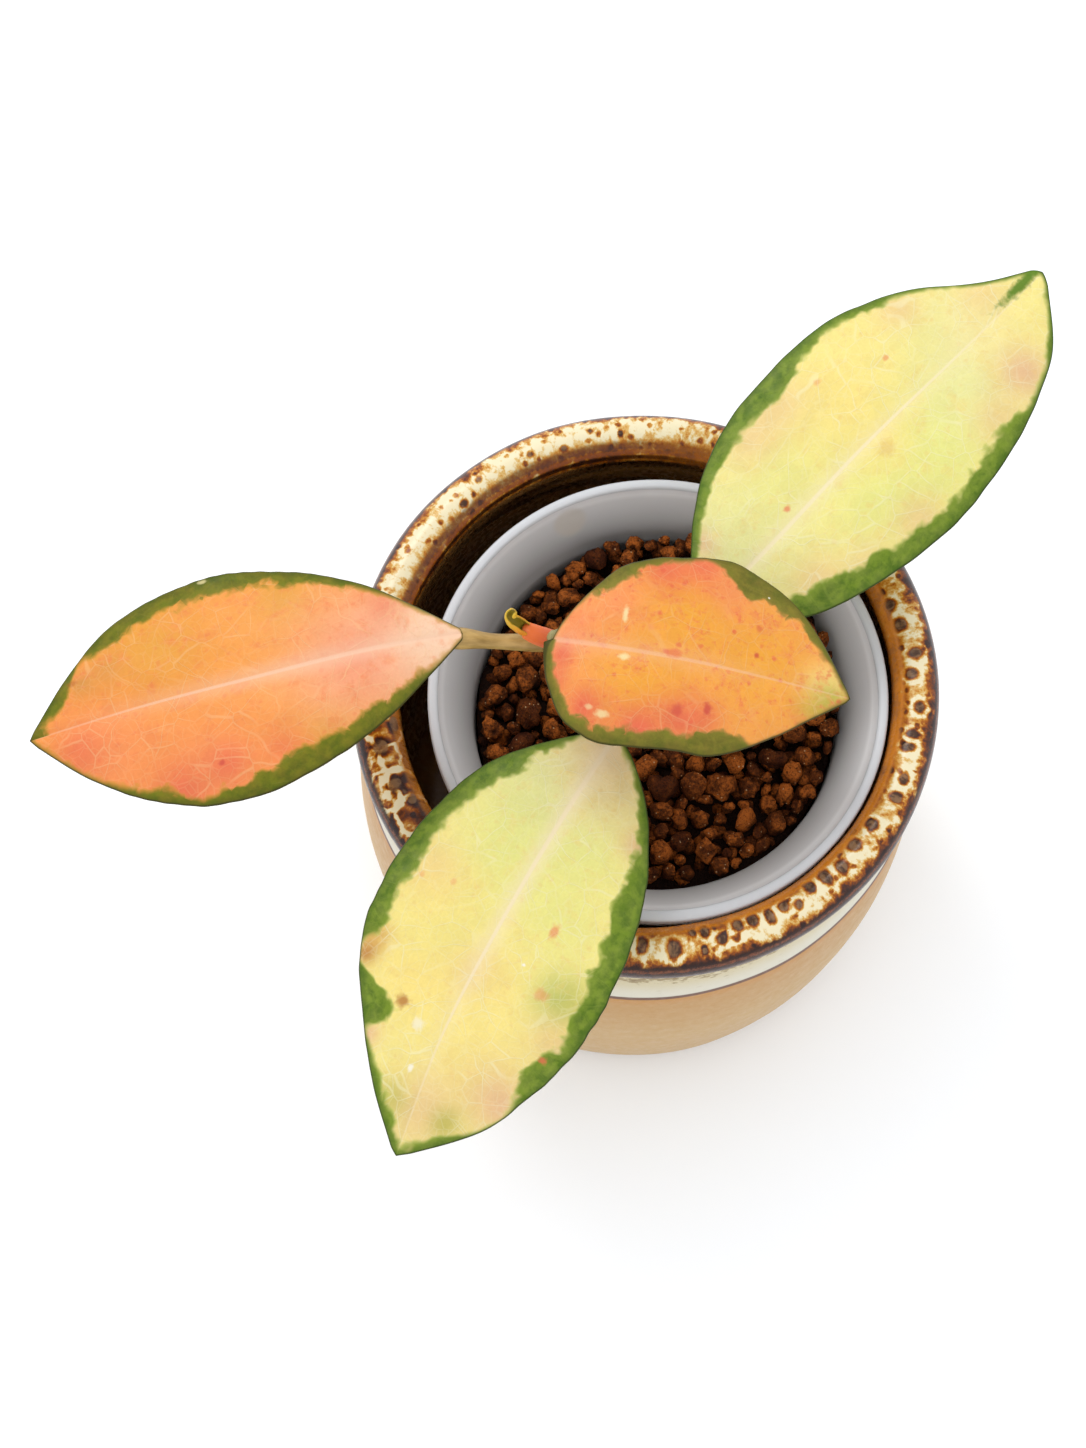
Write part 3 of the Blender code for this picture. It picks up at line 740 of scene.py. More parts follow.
    def build(self) -> None:
        """Turn the profile, with faint throwing lines on the body, and glaze it."""
        profile, bead = self.profile()
        rings = turned_rings(profile, self.columns)
        turn = full_turn(self.columns)
        degrees, round_ = np.degrees(turn), self.rim_radius / MM
        ring = stacked(round_ * np.cos(turn), round_ * np.sin(turn), bead[:, None])
        body = profile[:, 1:] < self.neck_height
        relief = self.throwing * ripple(profile[:, 1:] / MM, 5, 7.0)[:, None] * body
        least = np.maximum(profile[:, :1], 0.02)
        rings[..., :2] *= (1 + (relief + self.wobble * ripple(ring, 8, 34.0)) / least)[..., None]
        swell = bell(degrees, *self.bulge_turn) * bell(bead, *self.bulge_bead)[:, None]
        rings[..., :2] *= (1 - self.front_bulge * swell / least)[..., None]
        data = {
            "ring": ring,
            "bead": bead[:, None],
            "crackle": sum(most * bell(degrees, *at) for most, *at in self.crackled),
            "rear": np.clip(self.rear[0] * bell(degrees, *self.rear[1:]), 0, 1),
            "pools": self.pool_depth(degrees, bead),
        }
        mesh = closed_mesh("cachepot_glazed", rings, axis_poles(self.floor, self.foot_recess), data)
        add_piece(mesh, RimGlaze().build(), "stoneware", "cachepot")


@dataclass(frozen=True)
class PalePlastic:
    """Pale bluish-grey moulded plastic, a little milky, with fine scratches, a few marks and a painted
    warm reflection.
    """

    light: Shade = (0.88, 0.89, 0.91, 1.0)
    shade: Shade = (0.80, 0.81, 0.83, 1.0)
    # painted shade down the wall, towards the granules
    deep: Shade = tone(140, 138, 138)
    # painted shade on the flat lip, which faces the sky
    painted_lip_shade: Shade = tone(226, 229, 234)
    mark: Shade = tone(120, 100, 78)
    # painted reflection: a warm soft spot on the wall
    painted_reflection: Shade = tone(226, 214, 196)
    crumbs: tuple[tuple[float, float, float, float], ...] = (
        # place in millimetres and size of each speck of clay on the wall
        (32.2, -36.9, 101.0, 0.5), (27.5, -37.5, 99.0, 0.25), (40.6, 3.6, 99.0, 0.25),
    )
    reflection_spot: tuple[float, float, float] = (-15.7, 35.4, 97.0)  # middle of the painted reflection, in millimetres

    def build(self) -> bpy.types.Material:
        """Cloud and brush the grey, paint shade down the wall, less at the front, paint shade on the
        flat lip, and add the marks and a painted reflection.
        """
        paint = Finish("pale_plastic", 0.38)
        place = paint.place()
        _, deep, height = paint.parts(place)
        grain = paint.noise(place, 0.5, 3.0, 0.6)
        drag = paint.noise(paint.stretch(place, (0.25, 0.25, 2.5)), 1.2, 3.0, 0.7)
        cloud = paint.swing(paint.noise(place, 26.0, 3.0), 0.0, 1.0)
        colour = paint.mix(cloud, self.light, self.shade)
        colour = paint.lay(colour, self.shade, grain, 0.64, 0.76, 0.10)
        colour = paint.mix(paint.line(drag, 0.35, 0.65, 0.0, 0.12), colour, self.shade)
        # painted shade: darker down the wall towards the granules, and less so at the front, which
        # faces the light
        level = paint.add(height, paint.line(deep, 20.0, -38.0, 0.0, 3.5))
        for start, end, most in ((99.6, 98.4, 0.30), (98.4, 91.5, 0.94)):
            colour = paint.mix(paint.line(level, start, end, 0.0, most), colour, self.deep)
        # painted shade: the flat lip darker than the wall
        colour = paint.lay(colour, self.painted_lip_shade, height, 101.1, 101.5)
        # painted reflection: a warm soft spot high on the rear wall
        reflection_spot = paint.vmath("DISTANCE", place, self.reflection_spot)
        colour = paint.lay(colour, self.painted_reflection, reflection_spot, 4.2, 2.6, 0.45)
        for x, y, z, size in self.crumbs:
            near = paint.add(paint.vmath("DISTANCE", place, (x, y, z)), paint.times(grain, 0.3))
            colour = paint.lay(colour, self.mark, near, size + 0.2, size, 0.8)
        return paint.done(colour, paint.swing(drag, 0.30, 0.44), paint.relief(drag, 0.015),
                          Specular_IOR_Level=0.35)


@dataclass(frozen=True)
class NurseryPot:
    """The thin plastic pot, set a little off the cachepot's middle, towards its right front."""

    lip_radius: float = 0.0450
    lip_height: float = 0.1020
    lip_width: float = 0.0020
    lip_drop: float = 0.0032
    lip_edge: float = 0.0006
    wall: float = 0.0010
    floor_wall: float = 0.0014
    shoulder_radius: float = 0.0362
    shoulder_height: float = 0.0900
    foot_radius: float = 0.0300
    base: float = 0.0063
    offset: tuple[float, float] = (0.0025, -0.0015)
    front_lip: float = 0.0005
    columns: int = 320

    @property
    def floor(self) -> float:
        """Height of the floor's upper face."""
        return self.base + self.floor_wall

    def inner(self, height: Any) -> Array:
        """Inner radius: a straight taper, then a quarter wave of flare above the granules."""
        height = np.asarray(height, float)
        taper = (height - self.floor) / (self.shoulder_height - self.floor)
        low = self.foot_radius + (self.shoulder_radius - self.foot_radius) * taper
        share = (height - self.shoulder_height) / (self.lip_height - self.shoulder_height)
        throat = self.lip_radius - self.lip_width
        flare = np.sin(np.clip(share, 0, 1) * np.pi / 2)
        high = self.shoulder_radius + (throat - self.shoulder_radius) * flare
        return np.where(height <= self.shoulder_height, low, high)

    def profile(self) -> Array:
        """Give the profile from the inner floor over the flat lip and its skirt to the base."""
        skirt = self.lip_height - self.lip_drop
        rise = np.concatenate([
            np.linspace(self.floor, self.shoulder_height, 14)[:-1],
            np.linspace(self.shoulder_height, self.lip_height - self.lip_edge, 26),
        ])
        fall = np.concatenate([
            np.linspace(skirt, self.shoulder_height, 16),
            np.linspace(self.shoulder_height, self.base, 12)[1:],
        ])
        edge = self.lip_edge
        throat = self.lip_radius - self.lip_width
        outer = ellipse_arc((self.lip_radius - edge, self.lip_height - edge), (edge, edge),
                            (90, 0), 6)
        return np.vstack([
            [(0.014, self.floor)],
            stacked(self.inner(rise), rise),
            [(throat + 0.0002, self.lip_height - 0.0002), (throat + 0.0006, self.lip_height)],
            outer,
            [(self.lip_radius, skirt + 0.0002), (self.lip_radius - 0.0002, skirt)],
            stacked(self.inner(fall) + self.wall, fall),
            [(0.014, self.base)],
        ])

    def build(self) -> None:
        """Turn the pot in place, with the lip a little wider at the front, and dress it."""
        rings = turned_rings(self.profile(), self.columns)
        front = bell(np.degrees(full_turn(self.columns)), 276, 24)
        on_edge = np.hypot(rings[..., 0], rings[..., 1]) > self.lip_radius - self.lip_edge
        grow = 1 + self.front_lip * front * on_edge / self.lip_radius
        rings[..., :2] *= grow[..., None]
        rings[..., :2] += self.offset
        poles = axis_poles(self.floor, self.base, self.offset)
        mesh = closed_mesh("nursery_pot_plastic", rings, poles)
        mesh.set_sharp_from_angle(angle=math.radians(40))
        add_piece(mesh, PalePlastic().build(), "plastic", "nursery_pot")


# ---- Granules


@dataclass(frozen=True)
class BakedClay:
    """Porous baked clay: dark brown to orange-brown, pitted, with tiny glossy specks that carry
    painted glints, and painted shade in its pits and between the stones.
    """

    dark: Shade = tone(78, 34, 12)
    mid: Shade = tone(110, 55, 18)
    warm: Shade = tone(196, 106, 40)
    # painted shade in the gaps between stones and in their pits
    gap: Shade = tone(18, 8, 4)
    # painted highlight: the pale glints on the glossy specks
    painted_glint: Shade = tone(246, 200, 150)

    def build(self) -> bpy.types.Material:
        """Colour each granule by its own tone, which holds painted light, then darken its pits and
        sunk sides as painted shade and add painted glints.
        """
        paint = Finish("baked_clay", 0.75)
        place, sunk_shade = paint.place(), paint.number("sunk_shade")
        grain = paint.noise(place, 0.9, 4.0, 0.65)
        pits = paint.noise(place, 0.40, 3.0, 0.6)
        colour = paint.ramp(
            paint.add(paint.number("tone"), paint.swing(grain, -0.30, 0.30)),
            [(0.0, self.dark), (0.45, self.mid), (0.85, self.warm), (1.0, self.warm)],
        )
        # painted shade in the pits
        colour = paint.lay(colour, self.gap, pits, 0.47, 0.36, 0.65)
        # painted shade on sunk sides and between the stones
        colour = paint.lay(colour, self.gap, sunk_shade, 0.0, 1.0, 0.93)
        # painted highlight: glints on glossy specks, kept off the sunk sides
        speck = paint.specks(place, 0.80, (0.26, 0.12), (0.76, 0.80), paint.step(sunk_shade, 0.4, 0.1))
        colour = paint.mix(paint.times(speck, 0.85), colour, self.painted_glint)
        normal = paint.relief(pits, 0.30, paint.relief(grain, 0.80))
        return paint.done(colour, paint.line(speck, 0.0, 1.0, 0.72, 0.2), normal,
                          Specular_IOR_Level=0.10)


@dataclass(frozen=True)
class GranuleBed:
    """The fill of baked-clay granules: lumpy stones in two loose layers on a packed core."""

    pot: NurseryPot
    core_top: float = 0.0880
    core_bottom: float = 0.0080
    gap: float = 0.0003
    seed: int = 23
    radii: tuple[float, ...] = (0.0030, 0.0025, 0.0021, 0.0017, 0.0013)
    tries: tuple[int, ...] = (26, 260, 900, 2200, 3000)
    spacing: float = 0.84
    top_rise: tuple[float, float] = (0.15, 0.75)
    low_rise: tuple[float, float] = (-0.95, -0.15)
    low_radii: tuple[float, ...] = (0.0023, 0.0018, 0.0014)
    low_tries: tuple[int, ...] = (500, 1200, 1800)
    flatness: tuple[float, float] = (0.60, 1.0)
    heap: float = 0.0046
    heap_side: tuple[float, float] = (0.60, 0.80)
    stem_foot: tuple[float, float] = (0.0050, 0.0020)
    stem_room: float = 0.0014
    lump: float = 0.19
    knob: float = 0.12
    cuts: int = 3
    # painted shade on the lower layer of stones
    beneath_shade: float = 0.30
    core_drop: float = 0.0012
    core_columns: int = 160
    core_relief: float = 0.0004

    def places(self, draw: np.random.Generator, sizes: tuple[float, ...],
               tries: tuple[int, ...], rise: tuple[float, float]) -> tuple[Array, Array]:
        """Pack stones at random over the core's top, large ones first.

        Args:
            draw: Source of the random numbers.
            sizes: Radii to try.
            tries: How often each radius is tried.
            rise: How far a middle may stand above the core's top, in radii.

        Returns:
            The stones' middles and radii.
        """
        found = np.zeros((0, 4))
        for size, count in zip(sizes, tries):
            share, turn = np.sqrt(draw.random(count)), 2 * np.pi * draw.random(count)
            edge = self.heap_height(np.cos(turn), np.sin(turn))
            out = share * (self.pot.inner(self.core_top + edge) - self.gap - size * 0.92)
            for x, y, lift in zip(out * np.cos(turn), out * np.sin(turn), edge * share**1.5):
                away = np.hypot(found[:, 0] - x, found[:, 1] - y)
                if (away > self.spacing * (found[:, 2] + size)).all():
                    found = np.vstack([found, (x, y, size, lift)])
        level = self.core_top + found[:, 3] + found[:, 2] * draw.uniform(*rise, size=len(found))
        return np.column_stack([found[:, :2] + self.pot.offset, level]), found[:, 2]

    def heap_height(self, x: Array, y: Array) -> Array:
        """Give how far the stones climb the wall, at a place of the unit circle."""
        return self.heap * np.clip(x * self.heap_side[0] + y * self.heap_side[1], 0, 1) ** 0.8

    def build(self) -> None:
        """Make all stones as one mesh, and the dark core under them.

        A stone is a ball with lumps, which are the sums of five sines, pressed flat along two
        of its axes and turned. Its upward and lumpy sides get painted light; its lower sides, its
        hollows and the lower layer get painted shade.
        """
        draw = np.random.default_rng(self.seed)
        low, low_radii = self.places(draw, self.low_radii, self.low_tries, self.low_rise)
        top, top_radii = self.places(draw, self.radii, self.tries, self.top_rise)
        middles, radii = np.vstack([low, top]), np.concatenate([low_radii, top_radii])
        beneath_shade = np.concatenate([np.full(len(low), self.beneath_shade), np.zeros(len(top))])
        away = np.hypot(middles[:, 0] - self.stem_foot[0], middles[:, 1] - self.stem_foot[1])
        kept = away > radii + self.stem_room
        middles, radii, beneath_shade = middles[kept], radii[kept], beneath_shade[kept]
        ball, faces = ball_mesh(self.cuts)
        count = len(radii)
        lumps = np.zeros((count, len(ball)))
        for depth, pace in ((self.lump, 2.4), (self.knob, 5.5)):
            ways = draw.normal(size=(count, 5, 3)) * pace
            phases = draw.uniform(0, 2 * np.pi, size=(count, 5, 1))
            lumps += depth * np.sin(ways @ ball.T + phases).sum(axis=1) / math.sqrt(5)
        flat = np.concatenate([np.ones((count, 1)), draw.uniform(*self.flatness, (count, 2))], axis=1)
        turns = [np.array(Euler(angles).to_matrix()) for angles in draw.uniform(0, 6.28, (count, 3))]
        shape = ball[None] * (1 + lumps)[..., None] * flat[:, None] * radii[:, None, None]
        points = middles[:, None] + np.einsum("nij,nkj->nki", np.array(turns), shape)
        index = faces[None] + (np.arange(count) * len(ball))[:, None, None]
        mesh = plain_mesh("granule_bed", points.reshape(-1, 3).tolist(),
                          index.reshape(-1, 4).tolist())
        own = np.clip(draw.normal(0.36, 0.20, size=count), 0.02, 0.90)
        upward = (points[..., 2] - middles[:, None, 2]) / radii[:, None]
        # painted light: upward and bulging sides lighter
        add_data(mesh, "tone", (own[:, None] + 0.22 * upward + 0.8 * lumps).ravel())
        # painted shade: lower sides and hollows darker, more so in the lower layer
        deep = np.clip(0.30 - 0.80 * upward - 1.2 * lumps, 0, 1)
        add_data(mesh, "sunk_shade", np.clip(deep + beneath_shade[:, None], 0, 1).ravel())
        mesh.shade_smooth()
        clay = BakedClay().build()
        add_piece(mesh, clay, "baked_clay", "substrate")
        self.build_core(clay)

    def build_core(self, clay: bpy.types.Material) -> None:
        """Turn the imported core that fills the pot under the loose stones."""
        top = self.core_top - self.core_drop
        edge = float(self.pot.inner(top)) - self.gap  # the heap's stones hide the step to the wall
        heights = np.linspace(top - 0.0002, self.core_bottom, 60)
        side = stacked(self.pot.inner(heights) - self.gap, heights)
        profile = np.vstack([
            [(edge * share, top) for share in np.linspace(0.08, 0.99, 26)], side,
            [(side[-1, 0] * 0.5, self.core_bottom)],
        ])
        rings = turned_rings(profile, self.core_columns)
        inward = np.abs(ripple(rings / MM, 4, 4.0)) * self.core_relief
        far = np.maximum(np.hypot(rings[..., 0], rings[..., 1]), 0.001)
        rings[..., :2] *= (1 - inward / far)[..., None]
        rings[..., :2] += self.pot.offset
        # painted shade: the core's top is dark where it shows between the stones
        near_top = np.clip((rings[..., 2] - top + 0.001) / 0.001, 0, 1)
        mesh = closed_mesh("granule_core", rings, axis_poles(top, self.core_bottom, self.pot.offset),
                           {"tone": 0.35, "sunk_shade": near_top})
        add_piece(mesh, clay, "baked_clay", "substrate")


def ball_mesh(cuts: int) -> tuple[Array, Array]:
    """Give a ball of quads: a cube's sides cut into squares, pushed out to the unit ball.

    Args:
        cuts: How many squares lie along each edge of the cube.

    Returns:
        The points on the unit ball, and the quads' corners, which face outwards.
    """
    even = np.tan(np.linspace(-1, 1, cuts + 1) * np.pi / 4)
    first, second = np.meshgrid(even, even, indexing="ij")
    one = np.ones_like(first)
    sides = [np.stack([one, first, second], axis=-1), np.stack([-one, second, first], axis=-1)]
    grids = np.stack([np.roll(side, shift, axis=-1) for side in sides for shift in range(3)])
    index = np.arange(grids[..., 0].size).reshape(grids.shape[:3])
    quads = np.stack([index[:, :-1, :-1], index[:, 1:, :-1], index[:, 1:, 1:], index[:, :-1, 1:]],
                     axis=-1).reshape(-1, 4)
    points, same = np.unique(np.round(unit(grids).reshape(-1, 3), 9), axis=0, return_inverse=True)
    return points, same.ravel()[quads]


# ---- Leaves


class Tissue(Enum):
    """Shades of the leaf tissue, for display from 0 to 255."""

    APRICOT = (252, 168, 84)
    ORANGE = (251, 161, 76)
    MARIGOLD = (247, 174, 58)
    OCHRE = (230, 166, 62)
    SALMON = (250, 148, 96)
    CORAL = (238, 112, 84)
    CRIMSON = (204, 66, 68)
    ROSE = (252, 176, 138)
    BLUSH = (255, 218, 186)
    YELLOW = (251, 236, 146)
    BUTTER = (255, 230, 136)
    LIME = (234, 236, 140)
    PALE_LIME = (234, 236, 164)
    CREAM = (252, 236, 176)
    PEACH = (242, 207, 146)
    PINK_PEACH = (238, 190, 150)
    OLIVE = (186, 182, 76)
    TAN = (214, 150, 76)
    BROWN = (178, 100, 42)
    WHITE = (255, 250, 230)
    GREEN = (92, 134, 34)
    ROSE_CREAM = (255, 226, 178)
    SAGE = (182, 198, 112)


@dataclass(frozen=True)
class Patch:
    """A soft patch of tissue: where it is (share along, share across), its size and strength."""

    tissue: Tissue
    along: float
    across: float
    size: float  # millimetres
    strength: float = 0.8


@dataclass(frozen=True)
class Fleck:
    """A small sharp mark on the blade, in millimetres from base and midrib."""

    tissue: Tissue
    along: float
    out: float
    size: float
    stretch: float = 1.0
    strength: float = 0.9


@dataclass(frozen=True)
class LeafSkin:
    """Waxy variegated tissue with pale veins and a ragged green margin."""

    name: str
    mottle: Shade
    freckle: Shade
    vein: Shade
    midrib: Shade
    green: Shade
    green_light: Shade
    fringe: Shade
    edge: Shade
    underside: Shade
    mottle_share: float = 0.35
    freckle_share: float = 0.22
    vein_share: float = 0.34
    vein_gap: float = 10.5
    halo_share: float = 0.28
    rib_share: float = 0.60
    fringe_share: float = 0.60
    ragged: float = 1.0
    speckle_share: float = 0.25
    flecks: tuple[Fleck, ...] = ()

    def build(self) -> bpy.types.Material:
        """Layer tissue, veins, midrib, green margin, edge line and flecks, paler underneath."""
        paint = Finish(self.name, 0.42)
        along, out, share = paint.parts(paint.vector("leaf"))
        flat = paint.join(along, out, 0.0)
        grown = paint.stretch(paint.vector("grown"), (1.0, 1.0, 0.0))
        flow = paint.drift(grown, 8.0, 0.8)
        colour = self.tissue(paint, grown, flow)
        colour, lines = self.veins(paint, colour, along, out, share, flow)
        colour = self.margin(paint, colour, grown, flow, lines)
        ragged = paint.swing(paint.noise(flat, 1.0), 0.75, 1.3)
        for fleck in self.flecks:
            away = paint.vmath("SUBTRACT", flat, (fleck.along, fleck.out, 0))
            away = paint.vmath("LENGTH", paint.stretch(away, (1 / fleck.stretch, 1.0, 0.0)))
            colour = paint.lay(colour, tone(*fleck.tissue.value), paint.times(away, ragged),
                               fleck.size * 1.1, fleck.size * 0.3, fleck.strength)
        below = paint.mix(0.72, colour, self.underside)
        colour = paint.mix(paint.number("under"), colour, below)
        rough = paint.swing(paint.noise(flat, 2.5, 3.0), 0.34, 0.48)
        normal = paint.relief(lines, 0.04, paint.relief(paint.noise(flow, 2.6), 0.08))
        normal = paint.relief(paint.noise(flat, 0.35, 3.0, 0.6), 0.012, normal)
        return paint.done(colour, rough, normal, Specular_IOR_Level=0.10)

    def tissue(self, paint: Finish, grown: Any, flow: Any) -> Any:
        """Tint the stored tissue colour by mottling, freckles, speckles, fields and fine grain."""
        colour = paint.vector("tissue")
        cloud = paint.noise(flow, 4.2, 5.0, 0.62)
        colour = paint.lay(colour, self.mottle, cloud, 0.50, 0.68, self.mottle_share)
        freckle = paint.step(paint.noise(flow, 1.3, 4.0, 0.65), 0.53, 0.66, 0.0, self.freckle_share)
        freckle = paint.times(freckle, paint.step(cloud, 0.40, 0.60, 0.35, 1.0))
        colour = paint.mix(freckle, colour, self.freckle)
        spot = paint.specks(paint.drift(grown, 1.5, 0.5), 2.0, (0.34, 0.12), (0.70, 0.86),
                            self.speckle_share)
        colour = paint.mix(spot, colour, self.freckle)
        lift = paint.line(paint.cells(flow, 2.6)[1], 0.0, 1.0, 0.978, 1.022)
        grain = paint.swing(paint.noise(grown, 0.55, 3.0, 0.6), 0.965, 1.03)
        return paint.vmath("SCALE", colour, scale=paint.times(lift, grain))

    def veins(self, paint: Finish, colour: Any, along: Any, out: Any, share: Any,
              flow: Any) -> tuple[Any, Any]:
        """Draw side veins that sweep forward, the net between them, and the midrib's pale line.

        Args:
            paint: The material under construction.
            colour: Colour so far.
            along: Millimetres from the base.
            out: Millimetres from the midrib, negative on one side.
            share: Share of the leaf's length.
            flow: The wandering place on the leaf.

        Returns:
            The new colour, and how strong the veins are.
        """
        distance = paint.math("ABSOLUTE", out)
        phase = paint.add(
            paint.times(paint.add(along, paint.times(distance, -0.60)), 1 / self.vein_gap),
            paint.swing(paint.noise(flow, 11.0), -0.22, 0.22),
            paint.times(paint.math("SIGN", out), 0.22),
        )
        nearness = paint.math("ABSOLUTE", paint.add(paint.math("FRACT", phase), -0.5))
        fade = paint.step(paint.noise(flow, 8.0), 0.36, 0.60, 0.25, 1.0)
        swept = paint.times(paint.step(nearness, 0.020, 0.006), paint.step(distance, 16.0, 9.0), fade)
        net = paint.times(paint.step(paint.edges(flow, 5.2), 0.030, 0.008), fade, 0.85)
        fine = paint.step(paint.edges(flow, 2.1), 0.055, 0.015, 0.0, 0.34)
        lines = paint.math("MAXIMUM", paint.math("MAXIMUM", swept, net), fine)
        colour = paint.mix(paint.times(lines, self.vein_share), colour, self.vein)
        halo = paint.times(paint.step(distance, 3.6, 0.0), paint.step(share, 1.0, 0.35),
                           self.halo_share)
        colour = paint.mix(halo, colour, self.midrib)
        half = paint.line(share, 0.0, 1.0, 0.62, 0.16)
        rib = paint.times(paint.step(paint.math("DIVIDE", distance, half), 1.3, 0.35),
                          paint.step(share, 1.02, 0.55, 0.25, self.rib_share))
        return paint.mix(rib, colour, self.midrib), paint.math("MAXIMUM", lines, rib)

    def margin(self, paint: Finish, colour: Any, grown: Any, flow: Any, lines: Any) -> Any:
        """Lay the green margin: its width wavers by fields between veins, over a paler fringe."""
        field_, fray = 0.32 * self.ragged, 0.18 * self.ragged
        ragged = paint.add(
            paint.line(paint.cells(flow, 2.6)[1], 0.0, 1.0, -field_, field_),
            paint.swing(paint.noise(flow, 4.4), -1.0, 1.0),
            paint.swing(paint.noise(grown, 1.0, 3.0), -fray, fray),
        )
        narrow = paint.step(paint.number("green_width"), 0.3, 2.6, 0.12, 1.0)
        reach = paint.add(paint.number("green"), paint.times(ragged, narrow))
        soft = paint.noise(flow, 2.2, 4.0, 0.6)
        outward = paint.add(reach, paint.number("fringe"), paint.swing(soft, -0.5, 0.5))
        colour = paint.lay(colour, self.fringe, outward, 0.0, 1.0, self.fringe_share)
        green = paint.mix(paint.step(soft, 0.36, 0.66, 0.15, 0.75), self.green, self.green_light)
        green = paint.lay(green, self.green_light, reach, 2.4, 0.1, 0.50)
        green = paint.mix(paint.times(lines, 0.30), green, self.green_light)
        margin = paint.number("margin")
        green = paint.lay(green, self.green, margin, 1.5, 0.3, 0.55)
        thin = paint.line(paint.noise(flow, 3.2, 3.0, 0.6), 0.35, 0.65, 0.91, 1.0)
        covered = paint.times(paint.step(reach, -0.55, 0.75), thin, 0.98)
        colour = paint.mix(covered, colour, green)
        return paint.lay(colour, self.edge, margin, 0.40, 0.10, 0.85)


ORANGE_SKIN = dict(
    mottle=tone(243, 140, 84), freckle=tone(234, 108, 76), vein=tone(254, 206, 150),
    midrib=tone(255, 212, 182),
    green=tone(66, 88, 18), green_light=tone(122, 128, 26), fringe=tone(206, 152, 52),
    edge=tone(64, 62, 24), underside=tone(226, 170, 128),
)
YELLOW_SKIN = dict(
    mottle=tone(244, 216, 128), freckle=tone(240, 196, 122), vein=tone(253, 249, 206),
    midrib=tone(255, 240, 200), rib_share=0.75, vein_share=0.42, ragged=0.35,
    green=tone(60, 98, 16), green_light=tone(128, 154, 44), fringe=tone(206, 212, 108),
    edge=tone(56, 70, 24), underside=tone(208, 206, 142),
)


